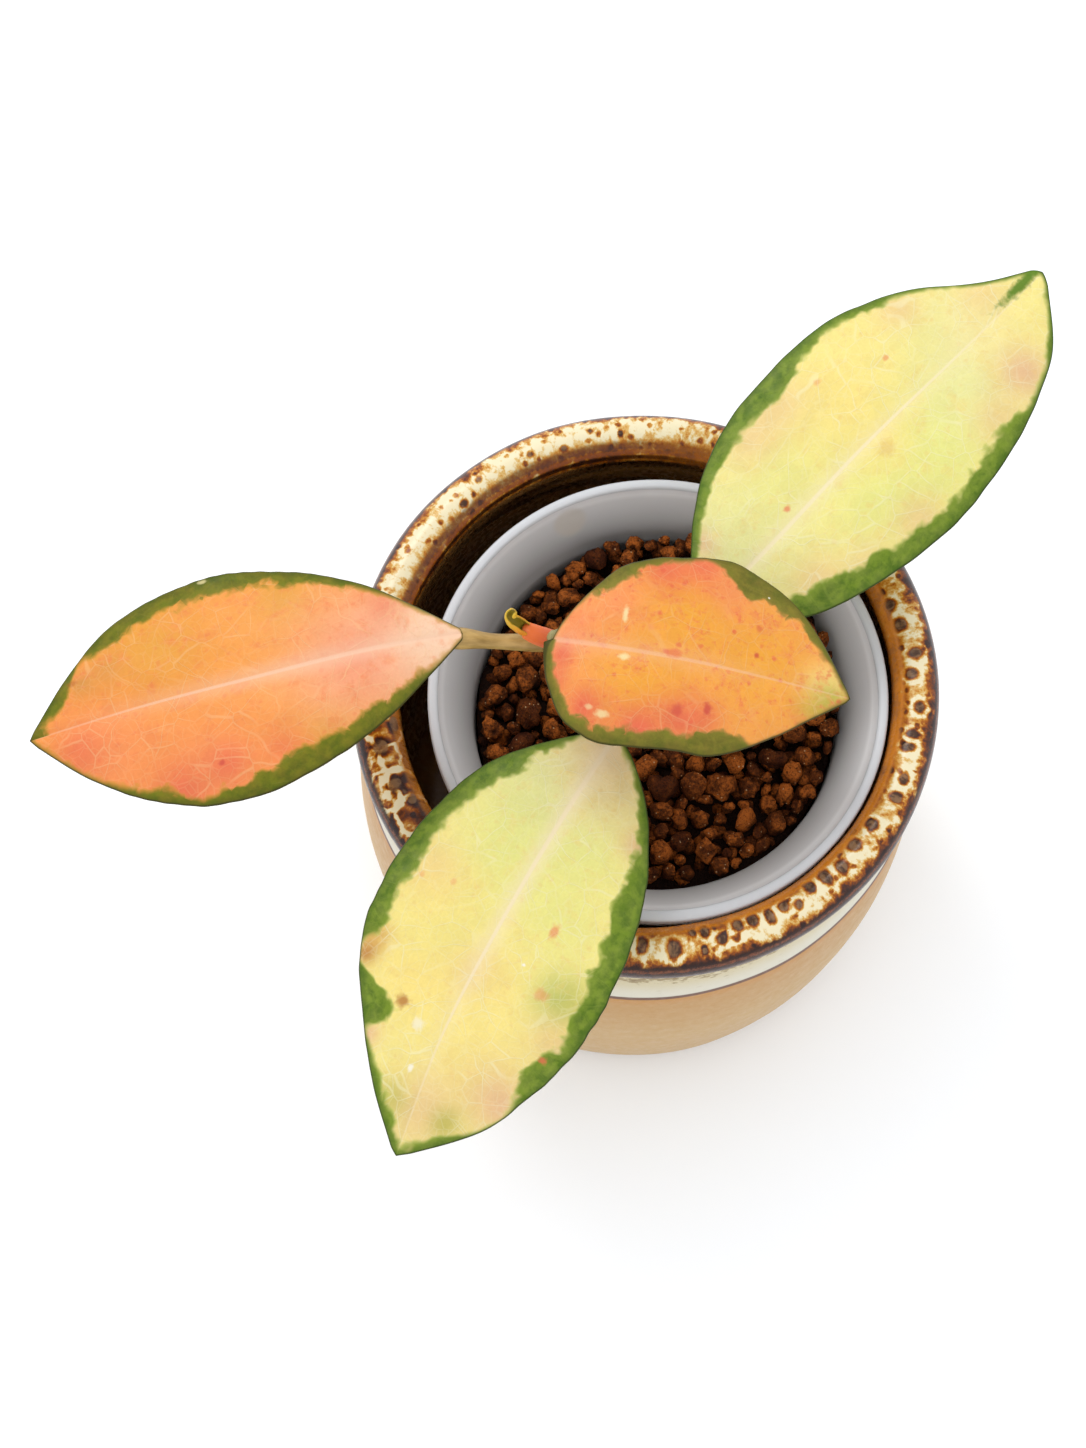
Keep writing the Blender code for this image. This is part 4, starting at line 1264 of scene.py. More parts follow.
@dataclass(frozen=True)
class HoyaLeaf:
    """One leaf: a waved blade between two margins, and the stalk that runs on as its rib."""

    name: str
    slot: str
    node: tuple[float, float, float]
    midrib: tuple
    left: tuple[float, ...]
    right: tuple[float, ...]
    base: Tissue
    patches: tuple[Patch, ...]
    green_left: tuple[tuple[float, float], ...]
    green_right: tuple[tuple[float, float], ...]
    skin: LeafSkin
    seed: int
    fringe_width: float = 0.6
    droop: float = 0.0020
    fold: float = 0.0008
    wave: float = 0.0007
    waves: float = 2.5
    lobe: float = 0.0
    base_round: float = 0.03
    tip_round: float = 0.015
    rib_start: float = 0.03
    stations: tuple[float, ...] = (0.0, 0.08, 0.20, 0.35, 0.50, 0.65, 0.80, 0.90, 1.0)
    rows: int = 240
    top_columns: int = 121
    under_columns: int = 41
    crowding: float = 0.6
    wave_shift: float = 0.3
    thickness: float = 0.00110
    margin_thickness: float = 0.00075
    swell: float = 0.00012
    dimple: float = 0.00005
    groove: float = 0.00012
    rounding: float = 0.00050
    stalk_radius: float = 0.00155
    stalk_flare: float = 0.00050
    stalk_sag: float = 0.0004
    node_radius: float = 0.0029
    gap: float = 0.0003
    rib_reach: float = 0.80
    rib_taper: float = 0.75
    rib_depth: float = 0.00054

    def frame(self, along: Array) -> tuple[Array, Array, Array, Array]:
        """Give points, forward, side and upward vectors of the midrib at the given shares."""
        knots = np.linspace(0, 1, len(self.midrib))
        points = smooth_through(knots, self.midrib, along)
        ahead = smooth_through(knots, self.midrib, np.minimum(along + 0.01, 1))
        behind = smooth_through(knots, self.midrib, np.maximum(along - 0.01, 0))
        forward = unit(ahead - behind)
        side = unit(np.cross(UP, forward))
        return points, forward, side, np.cross(forward, side)

    def half_widths(self, along: Array, across: Array) -> Array:
        """Give the half-width on the side of each column, closed roundly at base and tip."""
        left = smooth_through(self.stations, self.left, along)[:, None]
        right = smooth_through(self.stations, self.right, along)[:, None]
        width = np.where(across[None, :] > 0, left, right)
        side = np.sign(across)[None, :]
        path = stacked(along[:, None] * 90 + side * 500, side)  # far apart, so that sides differ
        width = width * (1 + 0.005 * ripple(path, self.seed, 13.0)
                         + 0.002 * ripple(path, self.seed + 1, 5.0))
        base = round_end(along / self.base_round, 0.02)
        tip = round_end((1 - along) / self.tip_round, 0.02)
        return width * (base * tip)[:, None]

    def surface(self) -> tuple[Array, dict[str, Any], Array, Array]:
        """Work out the blade's closed rings of points and what its skin reads.

        Out from the midrib by the half-width times the share across; up by the fold (half a
        sine) less the droop (its square) plus the margin's wave (its cube); back along the
        midrib by the lobe. The upper face rounds down to the margin on a quarter ellipse, and
        the under face lies a thickness below it.
        """
        even = np.linspace(0, 1, self.rows)
        along = (1 - self.crowding) * even + self.crowding * (0.5 - 0.5 * np.cos(np.pi * even))
        top = np.sin(np.pi / 2 * np.linspace(-1, 1, self.top_columns))
        below = np.sin(np.pi / 2 * np.linspace(1, -1, self.under_columns))[1:-1]
        across = np.concatenate([top, below])
        under = np.repeat([0.0, 1.0], [len(top), len(below)])
        points, forward, side, up = self.frame(along)
        width = self.half_widths(along, across)
        out = across[None, :] * width
        share = np.abs(across)[None, :]
        fullness = width / max(self.left)
        rise = self.fold * np.sin(share * np.pi) - self.droop * share**2
        shift = self.wave_shift / 2 * np.sign(across)[None, :]
        phase = 2 * np.pi * (self.waves * along[:, None] + shift)
        lift = fullness * (rise + self.wave * np.sin(phase) * share**3)
        back = -self.lobe * share * (across < 0)[None, :] * (1 - along[:, None]) ** 8
        length = run_along(self.frame(np.linspace(0, 1, 200))[0])[-1] / MM
        flat = stacked(along[:, None] * length + back / MM, out / MM)
        calm = np.clip(share * 4, 0, 1) * np.clip((1 - share) * 6, 0.25, 1)
        lift = lift + self.swell * ripple(flat, self.seed + 2, 14.0) * calm
        lift = lift + self.dimple * ripple(flat, self.seed + 3, 6.0) * calm
        lift = lift - self.groove * bell(out, 0.0, 0.0005) * (1 - under)
        round_ = np.minimum(self.rounding, width)
        inner = np.clip((np.abs(out) - (width - round_)) / round_, 0, 1)
        drop = 1 - np.sqrt(np.clip(1 - inner**2, 0, 1))
        ends = np.sqrt(np.clip(1 - (2 * along - 1) ** 8, 0.15, 1))[:, None]
        thick = (self.margin_thickness + (self.thickness - self.margin_thickness)
                 * (1 - share**2)) * ends
        depth = np.where(under > 0, thick - thick / 2 * drop, thick / 2 * drop)
        rings = swept(points, side, up, out, lift - depth) + forward[:, None] * back[..., None]
        tip = rings[-1].mean(0) + forward[-1] * 0.0001
        start = rings[0].mean(0) - forward[0] * 0.0001
        return rings, self.readings(along, across, width, flat) | {"under": under}, start, tip

    def readings(self, along: Array, across: Array, width: Array, flat: Array) -> dict[str, Any]:
        """Give what the skin reads: place on the leaf, distances, green margin and tissue."""
        length = flat[-1, 0, 0]
        slope = np.gradient(width, along * length * MM, axis=0)
        margin = width * (1 - np.abs(across)[None, :]) / np.sqrt(1 + slope**2) / MM
        margin = np.minimum(margin, (1 - along)[:, None] * length)
        left = smooth_through(*zip(*self.green_left), along)[:, None]
        right = smooth_through(*zip(*self.green_right), along)[:, None]
        wide = np.maximum(np.where(across[None, :] > 0, left, right), 0.15)
        colour = np.array(tone(*self.base.value)[:3])
        for patch in self.patches:
            row = int(np.argmin(np.abs(along - patch.along)))
            column = int(np.argmin(np.abs(across[: self.top_columns] - patch.across)))
            away = np.linalg.norm(flat - flat[row, column], axis=-1)
            weight = patch.strength * bell(away, 0.0, patch.size)[..., None]
            colour = colour * (1 - weight) + np.array(tone(*patch.tissue.value)[:3]) * weight
        place = stacked(flat[..., 0], flat[..., 1], along[:, None])
        return {
            "leaf": place,
            "grown": place + (self.seed * 2 * length, 0, 0),
            "margin": margin,
            "green": wide - margin,
            "green_width": wide,
            "fringe": self.fringe_width,
            "tissue": colour,
        }

    def build(self) -> None:
        """Make the blade and its stalk."""
        rings, data, start, tip = self.surface()
        mesh = closed_mesh(self.name + "_blade", rings, (start[None], tip[None]), data)
        add_piece(mesh, self.skin.build(), self.slot, self.name)
        self.build_stalk()

    def build_stalk(self) -> None:
        """Sweep the stalk from the node into the blade, where it tapers as the rib."""
        along = np.linspace(self.rib_start, self.rib_reach, 12)
        points, _, _, up = self.frame(along)
        radii = self.stalk_radius * (1 - self.rib_taper * along)
        rib = points - up * (self.rib_depth + radii)[:, None]
        node = np.array(self.node)
        away = unit(rib[0] - node)
        start = node + away * (self.node_radius - self.gap)
        middle = (start + rib[0]) / 2 - np.array([0, 0, self.stalk_sag])
        path, at = resample(np.vstack([start, middle, rib]), 120)
        reach = np.linalg.norm(rib[0] - start)
        radius = np.interp(at, [0, reach, at[-1]],
                           [self.stalk_radius, radii[0], radii[-1]])
        radius = radius + self.stalk_flare * bell(at, reach - 0.0016, 0.0034)
        radius = radius * (1 + 0.16 * bell(at, 0.001, 0.0022)
                           + 0.03 * ripple(at[:, None] / MM, self.seed, 9.0))
        radius = radius * round_end((at[-1] - at) / 0.006, 0.05)
        mesh = tube_mesh(self.name + "_stalk", path, radius, UP, 20)
        add_piece(mesh, StalkBark().build(self.name + "_stalk_skin"), self.slot, self.name)


def tube_mesh(name: str, path: Array, radius: Array, reference: tuple[float, float, float],
              sides: int, squash: Array | None = None) -> bpy.types.Mesh:
    """Sweep an ellipse along a path: side by r cos t and up by r sin t times the squash.

    Args:
        name: Name of the mesh.
        path: Points of the path.
        radius: Radius at each point.
        reference: Direction that the path never runs along.
        sides: Points round the tube.
        squash: Height over width at each point, or None for a round tube.

    Returns:
        The closed tube, which stores how far along and how far round each point is.
    """
    forward, side, up = path_frame(path, reference)
    turn = full_turn(sides)
    flat = np.ones(len(path)) if squash is None else squash
    across, rise = radius[:, None] * np.cos(turn), (radius * flat)[:, None] * np.sin(turn)
    rings = swept(path, side, up, across, rise)
    at, round_ = run_along(path) / MM, radius[:, None] / MM
    data = {
        "run": stacked(at[:, None], round_ * np.cos(turn), round_ * np.sin(turn)),
        "along": (at / at[-1])[:, None],
    }
    poles = (
        (path[0] - forward[0] * radius[0] * 0.25)[None],
        (path[-1] + forward[-1] * radius[-1] * 0.25)[None],
    )
    return closed_mesh(name, rings, poles, data)


@dataclass(frozen=True)
class StalkBark:
    """Smooth olive-tan skin of the stalks, with a few reddish specks."""

    light: Shade = tone(208, 170, 98)
    olive: Shade = tone(156, 122, 52)
    speck: Shade = tone(150, 60, 30)

    def build(self, name: str) -> bpy.types.Material:
        """Run long soft streaks along the stalk and scatter specks."""
        paint = Finish(name, 0.45)
        run = paint.vector("run")
        streak = paint.noise(paint.stretch(run, (0.25, 1.0, 1.0)), 1.4, 3.0, 0.6)
        grain = paint.noise(run, 0.5, 3.0, 0.6)
        colour = paint.mix(paint.line(streak, 0.32, 0.68), self.light, self.olive)
        dot = paint.specks(run, 1.6, (0.20, 0.10), (0.80, 0.86), 0.7)
        colour = paint.mix(dot, colour, self.speck)
        normal = paint.relief(grain, 0.03, paint.relief(streak, 0.10))
        return paint.done(colour, paint.swing(grain, 0.38, 0.55), normal)


UPPER_NODE = (-0.0175, -0.0005, 0.1285)
LOWER_NODE = (0.0025, 0.0012, 0.1155)


def leaf_left() -> HoyaLeaf:
    """The long orange leaf that reaches left."""
    return HoyaLeaf(
        name="leaf_left", slot="leaf_orange", node=UPPER_NODE, seed=3,
        midrib=((-0.0353, -0.0011, 0.1345), (-0.0530, -0.0055, 0.1360),
                (-0.0731, -0.0110, 0.1345), (-0.0944, -0.0165, 0.1310),
                (-0.1151, -0.0222, 0.1255)),
        left=(0.0011, 0.0057, 0.0119, 0.0177, 0.0213, 0.0211, 0.0163, 0.0098, 0.0005),
        right=(0.0010, 0.0057, 0.0120, 0.0184, 0.0215, 0.0212, 0.0170, 0.0098, 0.0005),
        base_round=0.004,
        base=Tissue.ORANGE, fringe_width=0.9,
        patches=(
            Patch(Tissue.APRICOT, 0.45, -0.3, 16, 0.9), Patch(Tissue.OCHRE, 0.70, -0.50, 9, 0.75),
            Patch(Tissue.OCHRE, 0.40, -0.70, 6, 0.7), Patch(Tissue.OCHRE, 0.37, 0.74, 6, 0.7),
            Patch(Tissue.ROSE, 0.22, 0.0, 13, 0.9), Patch(Tissue.ROSE, 0.33, 0.15, 9, 0.55),
            Patch(Tissue.BLUSH, 0.06, 0.0, 11, 0.95), Patch(Tissue.SALMON, 0.62, 0.75, 12, 0.75),
            Patch(Tissue.SALMON, 0.84, 0.55, 11, 0.75), Patch(Tissue.CORAL, 0.59, 0.66, 3.6, 0.7),
            Patch(Tissue.CORAL, 0.70, 0.86, 5, 0.75), Patch(Tissue.CORAL, 0.90, 0.50, 5, 0.6),
            Patch(Tissue.CORAL, 0.47, 0.70, 4, 0.5), Patch(Tissue.CORAL, 0.18, -0.75, 4, 0.45),
            Patch(Tissue.CORAL, 0.27, 0.10, 6, 0.30), Patch(Tissue.TAN, 0.86, -0.60, 2.5, 0.8),
            Patch(Tissue.TAN, 0.80, -0.54, 3.5, 0.5),
        ),
        green_right=((0, 0.4), (0.1, 0.6), (0.2, 0.9), (0.3, 1.9), (0.40, 2.8), (0.50, 3.6),
                     (0.60, 4.2), (0.70, 3.4), (0.78, 3.6), (0.83, 2.0), (0.865, 0.5),
                     (0.90, 2.6), (0.95, 2.4), (1.0, 1.6)),
        green_left=((0, 0.3), (0.08, 0.7), (0.15, 1.8), (0.25, 2.8), (0.35, 3.4), (0.45, 4.2),
                    (0.53, 3.6), (0.60, 2.4), (0.66, 1.2), (0.72, 2.2), (0.78, 1.4), (0.85, 0.7),
                    (0.93, 0.5), (1.0, 0.4)),
        skin=LeafSkin(name="orange_leaf_skin_left", mottle_share=0.45, halo_share=0.42, flecks=(
            Fleck(Tissue.BROWN, 74.0, -8.2, 0.8, 1.6, 0.5),
            Fleck(Tissue.CRIMSON, 50.5, 14.4, 0.7, 1.0, 0.6),
            Fleck(Tissue.CREAM, 48.0, -21.0, 0.5, 2.2, 0.6),
        ), **ORANGE_SKIN),
    )


def leaf_centre() -> HoyaLeaf:
    """The short orange-yellow leaf over the pot."""
    return HoyaLeaf(
        name="leaf_centre", slot="leaf_orange", node=UPPER_NODE, seed=5,
        midrib=((-0.0185, -0.0028, 0.1380), (-0.0076, -0.0042, 0.1390),
                (0.0077, -0.0058, 0.1370), (0.0216, -0.0073, 0.1330),
                (0.0374, -0.0092, 0.1280)),
        left=(0.0016, 0.0078, 0.0146, 0.0190, 0.0211, 0.0207, 0.0166, 0.0098, 0.0005),
        right=(0.0050, 0.0130, 0.0173, 0.0179, 0.0171, 0.0159, 0.0106, 0.0056, 0.0005),
        base=Tissue.APRICOT, lobe=0.0016, waves=3.5, rib_start=0.12, fringe_width=0.5,
        patches=(
            Patch(Tissue.MARIGOLD, 0.47, 0.50, 9, 0.9), Patch(Tissue.MARIGOLD, 0.36, -0.38, 9, 0.8),
            Patch(Tissue.MARIGOLD, 0.72, 0.1, 10, 0.8), Patch(Tissue.SALMON, 0.10, 0.4, 6, 0.8),
            Patch(Tissue.CORAL, 0.055, -0.27, 3.5, 0.85), Patch(Tissue.CORAL, 0.06, -0.7, 3.0, 0.7),
            Patch(Tissue.CORAL, 0.185, -0.72, 4.4, 0.9), Patch(Tissue.CORAL, 0.365, -0.82, 5.0, 0.95),
            Patch(Tissue.CORAL, 0.48, -0.66, 4.8, 0.85), Patch(Tissue.CORAL, 0.56, -0.60, 3.5, 0.6),
            Patch(Tissue.CORAL, 0.385, 0.86, 5.0, 0.85), Patch(Tissue.CORAL, 0.50, 0.90, 4.6, 0.85),
            Patch(Tissue.SALMON, 0.59, 0.68, 5.0, 0.7), Patch(Tissue.SALMON, 0.25, 0.55, 5.0, 0.7),
            Patch(Tissue.YELLOW, 0.93, 0.2, 4.0, 0.7), Patch(Tissue.OLIVE, 0.95, -0.45, 3.4, 0.85),
            Patch(Tissue.OLIVE, 0.90, -0.75, 3.0, 0.5),
        ),
        green_left=((0, 0.6), (0.06, 0.5), (0.12, 0.9), (0.20, 3.4), (0.30, 2.6), (0.38, 1.5),
                    (0.45, 0.9), (0.52, 1.0), (0.58, 3.2), (0.65, 5.6), (0.72, 5.0), (0.80, 3.0),
                    (0.88, 1.8), (0.95, 0.9), (1.0, 0.8)),
        green_right=((0, 1.6), (0.06, 2.0), (0.12, 2.0), (0.20, 2.6), (0.30, 3.4), (0.40, 3.0),
                     (0.50, 3.2), (0.60, 4.6), (0.66, 3.6), (0.72, 0.7), (0.80, 0.3), (0.92, 0.5),
                     (1.0, 0.8)),
        skin=LeafSkin(name="orange_leaf_skin_centre", mottle_share=0.55, freckle_share=0.50,
                      speckle_share=0.65, halo_share=0.15, rib_share=0.34, vein_share=0.26, flecks=(
            Fleck(Tissue.CREAM, 16.2, 6.5, 2.0, 0.32, 0.8),
            Fleck(Tissue.CREAM, 17.0, -1.6, 0.9, 1.4, 0.8),
            Fleck(Tissue.CREAM, 14.4, -13.0, 0.9, 2.0, 0.7),
            Fleck(Tissue.CREAM, 11.6, -12.0, 0.6, 2.0, 0.5),
            Fleck(Tissue.CRIMSON, 27.0, -9.8, 1.7, 0.8, 0.55),
            Fleck(Tissue.CRIMSON, 32.4, -8.6, 1.7, 0.6, 0.70),
            Fleck(Tissue.CRIMSON, 40.4, 8.7, 0.9, 1.0, 0.4),
            Fleck(Tissue.CRIMSON, 40.6, 3.7, 0.7, 1.0, 0.7),
            Fleck(Tissue.CORAL, 25.2, 0.8, 1.1, 2.0, 0.6),
            Fleck(Tissue.WHITE, 42.0, 15.8, 0.3, 1.0, 0.8),
        ), **{**ORANGE_SKIN, "green": tone(88, 96, 30), "green_light": tone(134, 132, 44),
              "fringe": tone(196, 140, 80)}),
    )


def leaf_back() -> HoyaLeaf:
    """The yellow-green leaf that reaches to the back right."""
    return HoyaLeaf(
        name="leaf_back", slot="leaf_yellow", node=LOWER_NODE, seed=7,
        midrib=((0.0076, 0.0076, 0.1185), (0.0212, 0.0215, 0.1215), (0.0400, 0.0427, 0.1250),
                (0.0577, 0.0612, 0.1270), (0.0747, 0.0801, 0.1260)),
        left=(0.0015, 0.0063, 0.0147, 0.0222, 0.0240, 0.0227, 0.0164, 0.0076, 0.0012),
        right=(0.0015, 0.0056, 0.0138, 0.0200, 0.0229, 0.0214, 0.0168, 0.0118, 0.0012),
        base=Tissue.YELLOW, waves=2.0,
        patches=(
            Patch(Tissue.PALE_LIME, 0.20, 0.3, 16, 0.8), Patch(Tissue.LIME, 0.393, 0.46, 8, 0.7),
            Patch(Tissue.LIME, 0.588, -0.42, 12, 0.85), Patch(Tissue.LIME, 0.765, 0.45, 7, 0.7),
            Patch(Tissue.LIME, 0.463, -0.47, 10, 0.8), Patch(Tissue.PALE_LIME, 0.713, -0.26, 9, 0.7),
            Patch(Tissue.BUTTER, 0.53, 0.45, 11, 0.7), Patch(Tissue.BUTTER, 0.53, -0.10, 6, 0.6),
            Patch(Tissue.CREAM, 0.80, 0.2, 9, 0.5), Patch(Tissue.PEACH, 0.39, 0.74, 6, 0.8),
            Patch(Tissue.PEACH, 0.46, 0.74, 5, 0.7), Patch(Tissue.PEACH, 0.743, 0.78, 5, 0.8),
            Patch(Tissue.PEACH, 0.88, 0.6, 5, 0.6), Patch(Tissue.PINK_PEACH, 0.815, -0.70, 5.5, 0.85),
            Patch(Tissue.PEACH, 0.715, -0.72, 5, 0.7), Patch(Tissue.PEACH, 0.468, -0.80, 5, 0.8),
            Patch(Tissue.PEACH, 0.278, -0.66, 5, 0.8), Patch(Tissue.PEACH, 0.36, -0.78, 4, 0.6),
            Patch(Tissue.PINK_PEACH, 0.17, 0.78, 3.5, 0.7),
        ),
        green_left=((0, 1.2), (0.1, 1.5), (0.2, 2.0), (0.28, 2.6), (0.35, 3.2), (0.42, 4.4),
                    (0.50, 4.6), (0.56, 3.0), (0.62, 1.8), (0.70, 2.2), (0.78, 1.1), (0.85, 0.9),
                    (0.92, 0.9), (1.0, 1.0)),
        green_right=((0, 0.8), (0.08, 1.8), (0.15, 3.0), (0.22, 4.2), (0.30, 5.2), (0.38, 4.6),
                     (0.45, 3.8), (0.55, 3.6), (0.62, 3.8), (0.70, 3.4), (0.76, 2.2), (0.80, 0.9),
                     (0.86, 1.0), (0.90, 1.3), (0.95, 0.9), (1.0, 0.9)),
        skin=LeafSkin(name="yellow_leaf_skin_back", halo_share=0.35, flecks=(
            Fleck(Tissue.CORAL, 33.5, 2.5, 0.8, 1.0, 0.7),
            Fleck(Tissue.CORAL, 64.5, 9.4, 0.8, 1.0, 0.5),
            Fleck(Tissue.CORAL, 52.5, 15.3, 0.9, 1.0, 0.35),
            Fleck(Tissue.TAN, 52.2, -3.5, 2.2, 1.0, 0.3),
            Fleck(Tissue.GREEN, 94.5, 1.2, 1.5, 5.5, 0.95),
        ), **YELLOW_SKIN),
    )


def leaf_front() -> HoyaLeaf:
    """The yellow-green leaf that hangs out over the front."""
    return HoyaLeaf(
        name="leaf_front", slot="leaf_yellow", node=LOWER_NODE, seed=9,
        midrib=((-0.0057, -0.0141, 0.1170), (-0.0163, -0.0327, 0.1175),
                (-0.0270, -0.0530, 0.1165), (-0.0364, -0.0726, 0.1135),
                (-0.0441, -0.0945, 0.1085)),
        left=(0.0018, 0.0100, 0.0174, 0.0226, 0.0244, 0.0236, 0.0194, 0.0135, 0.0006),
        right=(0.0020, 0.0090, 0.0175, 0.0225, 0.0237, 0.0218, 0.0140, 0.0080, 0.0006),
        base=Tissue.YELLOW,
        patches=(
            Patch(Tissue.LIME, 0.212, -0.29, 10, 0.8), Patch(Tissue.LIME, 0.348, -0.31, 10, 0.75),
            Patch(Tissue.LIME, 0.258, 0.35, 8, 0.75), Patch(Tissue.LIME, 0.545, -0.39, 8, 0.7),
            Patch(Tissue.LIME, 0.42, 0.39, 9, 0.6), Patch(Tissue.PALE_LIME, 0.16, -0.35, 12, 0.7),
            Patch(Tissue.ROSE_CREAM, 0.12, 0.30, 9, 0.5), Patch(Tissue.ROSE_CREAM, 0.03, 0.0, 9, 0.85),
            Patch(Tissue.SAGE, 0.57, 0.62, 5, 0.75), Patch(Tissue.BUTTER, 0.615, 0.11, 10, 0.7),
            Patch(Tissue.BUTTER, 0.68, -0.45, 9, 0.9), Patch(Tissue.BUTTER, 0.768, 0.40, 9, 0.6),
            Patch(Tissue.PEACH, 0.455, -0.66, 5, 0.8), Patch(Tissue.PEACH, 0.82, 0.72, 7, 0.9),
            Patch(Tissue.PINK_PEACH, 0.84, 0.85, 4, 0.7), Patch(Tissue.PEACH, 0.655, 0.83, 5, 0.8),
            Patch(Tissue.PINK_PEACH, 0.90, 0.10, 7, 0.6), Patch(Tissue.BUTTER, 0.50, -0.55, 9, 0.7),
            Patch(Tissue.PEACH, 0.60, 0.0, 5, 0.5), Patch(Tissue.BROWN, 0.67, -0.94, 2.4, 0.8),
            Patch(Tissue.TAN, 0.63, -0.86, 3.0, 0.7), Patch(Tissue.PINK_PEACH, 0.80, -0.95, 2.5, 0.8),
            Patch(Tissue.OLIVE, 0.90, -0.60, 4, 0.6), Patch(Tissue.OLIVE, 0.91, 0.52, 3, 0.7),
            Patch(Tissue.OLIVE, 0.56, 0.80, 5, 0.45), Patch(Tissue.PINK_PEACH, 0.20, 0.86, 3.5, 0.7),
        ),
        green_right=((0, 0.5), (0.05, 0.9), (0.10, 1.8), (0.15, 3.4), (0.20, 4.6), (0.27, 3.8),
                     (0.33, 4.0), (0.40, 4.2), (0.48, 4.6), (0.56, 3.8), (0.61, 3.0), (0.65, 0.4),
                     (0.69, 0.6), (0.715, 4.6), (0.76, 5.2), (0.79, 0.8), (0.82, 0.9), (0.87, 1.6),
                     (0.92, 2.0), (1.0, 1.0)),
        green_left=((0, 0.8), (0.08, 1.4), (0.15, 2.0), (0.22, 2.8), (0.30, 4.4), (0.36, 5.6),
                    (0.42, 5.2), (0.48, 4.6), (0.54, 5.0), (0.60, 4.4), (0.66, 2.4), (0.70, 4.0),
                    (0.76, 4.6), (0.80, 2.0), (0.86, 0.3), (0.90, 0.5), (0.94, 1.6), (1.0, 1.2)),
        skin=LeafSkin(name="yellow_leaf_skin_front", halo_share=0.48, flecks=(
            Fleck(Tissue.BROWN, 65.0, -9.3, 1.6, 1.0, 0.75),
            Fleck(Tissue.WHITE, 67.5, -4.9, 1.5, 1.0, 0.6),
            Fleck(Tissue.WHITE, 75.0, -3.1, 0.6, 1.6, 0.9),
            Fleck(Tissue.CORAL, 40.3, 9.6, 1.2, 1.6, 0.6),
            Fleck(Tissue.WHITE, 48.5, 7.6, 0.45, 1.0, 1.0),
            Fleck(Tissue.CORAL, 52.0, 13.1, 1.7, 1.0, 0.4),
            Fleck(Tissue.CORAL, 63.8, 18.7, 1.0, 1.0, 0.7),
            Fleck(Tissue.CORAL, 42.5, -17.5, 0.8, 1.0, 0.3),
            Fleck(Tissue.CORAL, 41.0, -11.5, 0.8, 1.0, 0.3),
        ), **{**YELLOW_SKIN, "midrib": tone(255, 237, 200)}),
    )


# ---- Stem and shoot


@dataclass(frozen=True)
class HoyaStem:
    """The stem: upright in the granules, bent over to the upper node, swollen at both nodes."""

    radius: float = 0.00160
    foot: tuple[float, float, float] = (0.0050, 0.0020, 0.0880)
    buried: float = 0.0250
    upright: float = 0.0110
    elbow: tuple[float, float, float] = (-0.0035, 0.0006, 0.1217)
    swelling: float = 0.0011
    swelling_reach: float = 0.0022
    tail: float = 0.0024

    def build(self) -> None:
        """Sweep the stem, with a bulge at each node and a rounded end."""
        foot = np.array(self.foot)
        knots = np.array([
            foot - (0, 0, self.buried), foot, foot + (0, 0, self.upright), LOWER_NODE, self.elbow,
            UPPER_NODE,
        ])
        path, _ = resample(knots, 150)
        tail = unit(path[-1] - path[-2])
        path = np.vstack([path, path[-1] + tail * np.linspace(0.0003, self.tail, 14)[:, None]])
        radius = np.full(len(path), self.radius)
        for node in (LOWER_NODE, UPPER_NODE):
            away = np.linalg.norm(path - np.array(node), axis=1)
            radius = radius + self.swelling * bell(away, 0.0, self.swelling_reach)
        run = run_along(path)
        radius = radius * (1 + 0.05 * ripple(run[:, None] / MM, 2, 6.0))
        radius = radius * round_end((run[-1] - run) / self.tail, 0.02)
        mesh = tube_mesh("stem_bark", path, radius, (0, 1, 0), 24)
        bark = StalkBark(light=tone(168, 160, 112), olive=tone(124, 118, 66), speck=tone(96, 70, 40))
        add_piece(mesh, bark.build("stem_bark"), "stem", "stem")


@dataclass(frozen=True)
class YoungTissue:
    """Satin skin of the young growth, which fades from one shade to another along it."""

    name: str
    start: Shade
    end: Shade
    streak: Shade
    hollow: Shade

    def build(self) -> bpy.types.Material:
        """Fade along the piece with fine lengthwise streaks, with its own shade inside a fold."""
        paint = Finish(self.name, 0.36)
        fibre = paint.noise(paint.stretch(paint.vector("run"), (0.3, 1.6, 1.6)), 1.0, 3.0, 0.6)
        fade = paint.add(paint.number("along"), paint.swing(fibre, -0.15, 0.15))
        colour = paint.lay(self.start, self.end, fade, 0.15, 0.85)
        colour = paint.lay(colour, self.streak, fibre, 0.52, 0.70, 0.45)
        colour = paint.mix(paint.number("inside"), colour, self.hollow)
        return paint.done(colour, paint.swing(fibre, 0.30, 0.46), paint.relief(fibre, 0.06),
                          Specular_IOR_Level=0.25)


